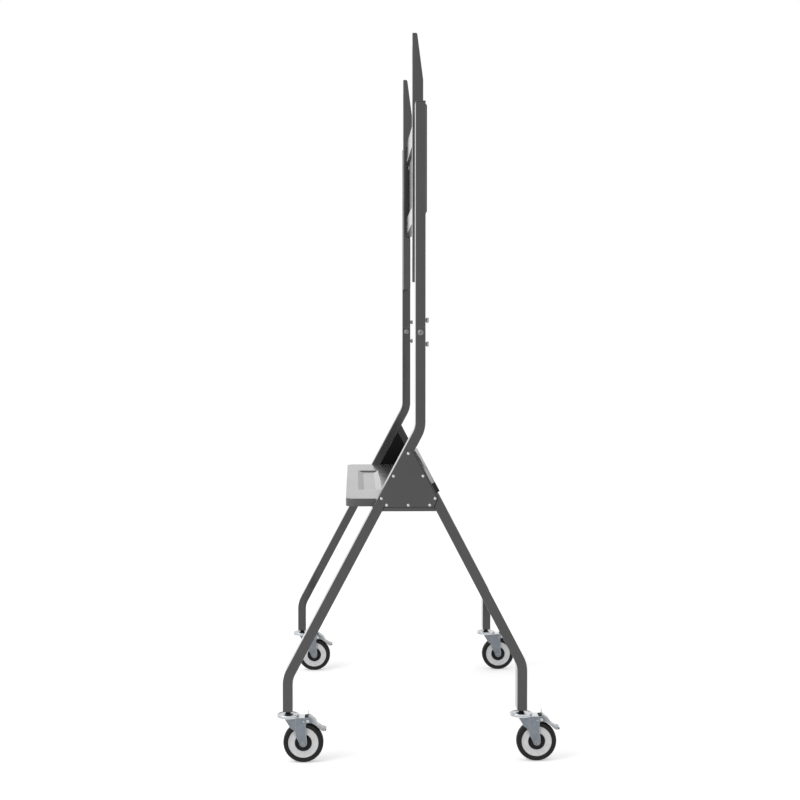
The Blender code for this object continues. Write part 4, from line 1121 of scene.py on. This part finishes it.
floor_form = bmesh.new()
bmesh.ops.create_grid(floor_form, x_segments=1, y_segments=1, size=FLOOR_SIZE / 2)
floor = bpy.data.objects.new("floor", mesh_of(floor_form, "floor"))
bpy.context.scene.collection.objects.link(floor)
floor_paint = bpy.data.materials.new("pale floor")
floor_paint.use_nodes = True
floor_nodes = floor_paint.node_tree.nodes
floor_link = floor_paint.node_tree.links.new
floor_nodes.remove(floor_nodes["Principled BSDF"])
matt = floor_nodes.new("ShaderNodeBsdfDiffuse")
matt.inputs["Color"].default_value = (FLOOR_GREY, FLOOR_GREY, FLOOR_GREY, 1.0)
glow = floor_nodes.new("ShaderNodeEmission")
floor_mix = floor_nodes.new("ShaderNodeAddShader")
glow_scale = floor_nodes.new("ShaderNodeMath")
glow_scale.operation = "MULTIPLY"
glow_scale.inputs[1].default_value = FLOOR_GLOW
floor_link(seen_directly(floor_nodes, floor_link), glow_scale.inputs[0])
floor_link(glow_scale.outputs[0], glow.inputs["Strength"])
floor_link(matt.outputs[0], floor_mix.inputs[0])
floor_link(glow.outputs[0], floor_mix.inputs[1])
floor_link(floor_mix.outputs[0], floor_nodes["Material Output"].inputs["Surface"])
floor.data.materials.append(floor_paint)

world = bpy.data.worlds.new("white studio")
bpy.context.scene.world = world
world.use_nodes = True
sky_nodes = world.node_tree.nodes
sky_link = world.node_tree.links.new
sky_light = sky_nodes["Background"]
sky_light.inputs["Color"].default_value = (1.0, 1.0, 1.0, 1.0)
sky_light.inputs["Strength"].default_value = SKY
sky_seen = sky_nodes.new("ShaderNodeBackground")
sky_seen.inputs["Color"].default_value = (1.0, 1.0, 1.0, 1.0)
sky_seen.inputs["Strength"].default_value = 1.0
sky_mix = sky_nodes.new("ShaderNodeMixShader")
sky_link(seen_directly(sky_nodes, sky_link), sky_mix.inputs[0])
sky_link(sky_light.outputs[0], sky_mix.inputs[1])
sky_link(sky_seen.outputs[0], sky_mix.inputs[2])
sky_link(sky_mix.outputs[0], sky_nodes["World Output"].inputs["Surface"])

lamp_data = bpy.data.lights.new("soft lamp", "AREA")
lamp_data.size = LAMP_SIZE
lamp_data.energy = LAMP_POWER
lamp = bpy.data.objects.new("soft lamp", lamp_data)
bpy.context.scene.collection.objects.link(lamp)
lamp.location = LAMP_PLACE
aim = Vector(LAMP_AIM) - Vector(LAMP_PLACE)
lamp.rotation_euler = aim.to_track_quat("-Z", "Y").to_euler()

# Camera: it stands off the right-hand frame at chest height, nearly square to it, as in the photo.
# Its place, way and lens are those that fit the photo's edges best.
CAMERA_PLACE = (4.6849, -0.1605, 1.0939)
CAMERA_TURN = math.radians(1.58)
CAMERA_DIP = math.radians(2.46)
CAMERA_LENS = 73.86

camera_data = bpy.data.cameras.new("photo view")
camera_data.lens = CAMERA_LENS
camera = bpy.data.objects.new("photo view", camera_data)
bpy.context.scene.collection.objects.link(camera)
camera.location = CAMERA_PLACE
view_way = Vector((
    -math.cos(CAMERA_TURN) * math.cos(CAMERA_DIP),
    math.sin(CAMERA_TURN) * math.cos(CAMERA_DIP),
    -math.sin(CAMERA_DIP),
))
camera.rotation_euler = view_way.to_track_quat("-Z", "Y").to_euler()
bpy.context.scene.camera = camera
bpy.context.scene.view_settings.view_transform = "Standard"

bpy.context.view_layer.update()
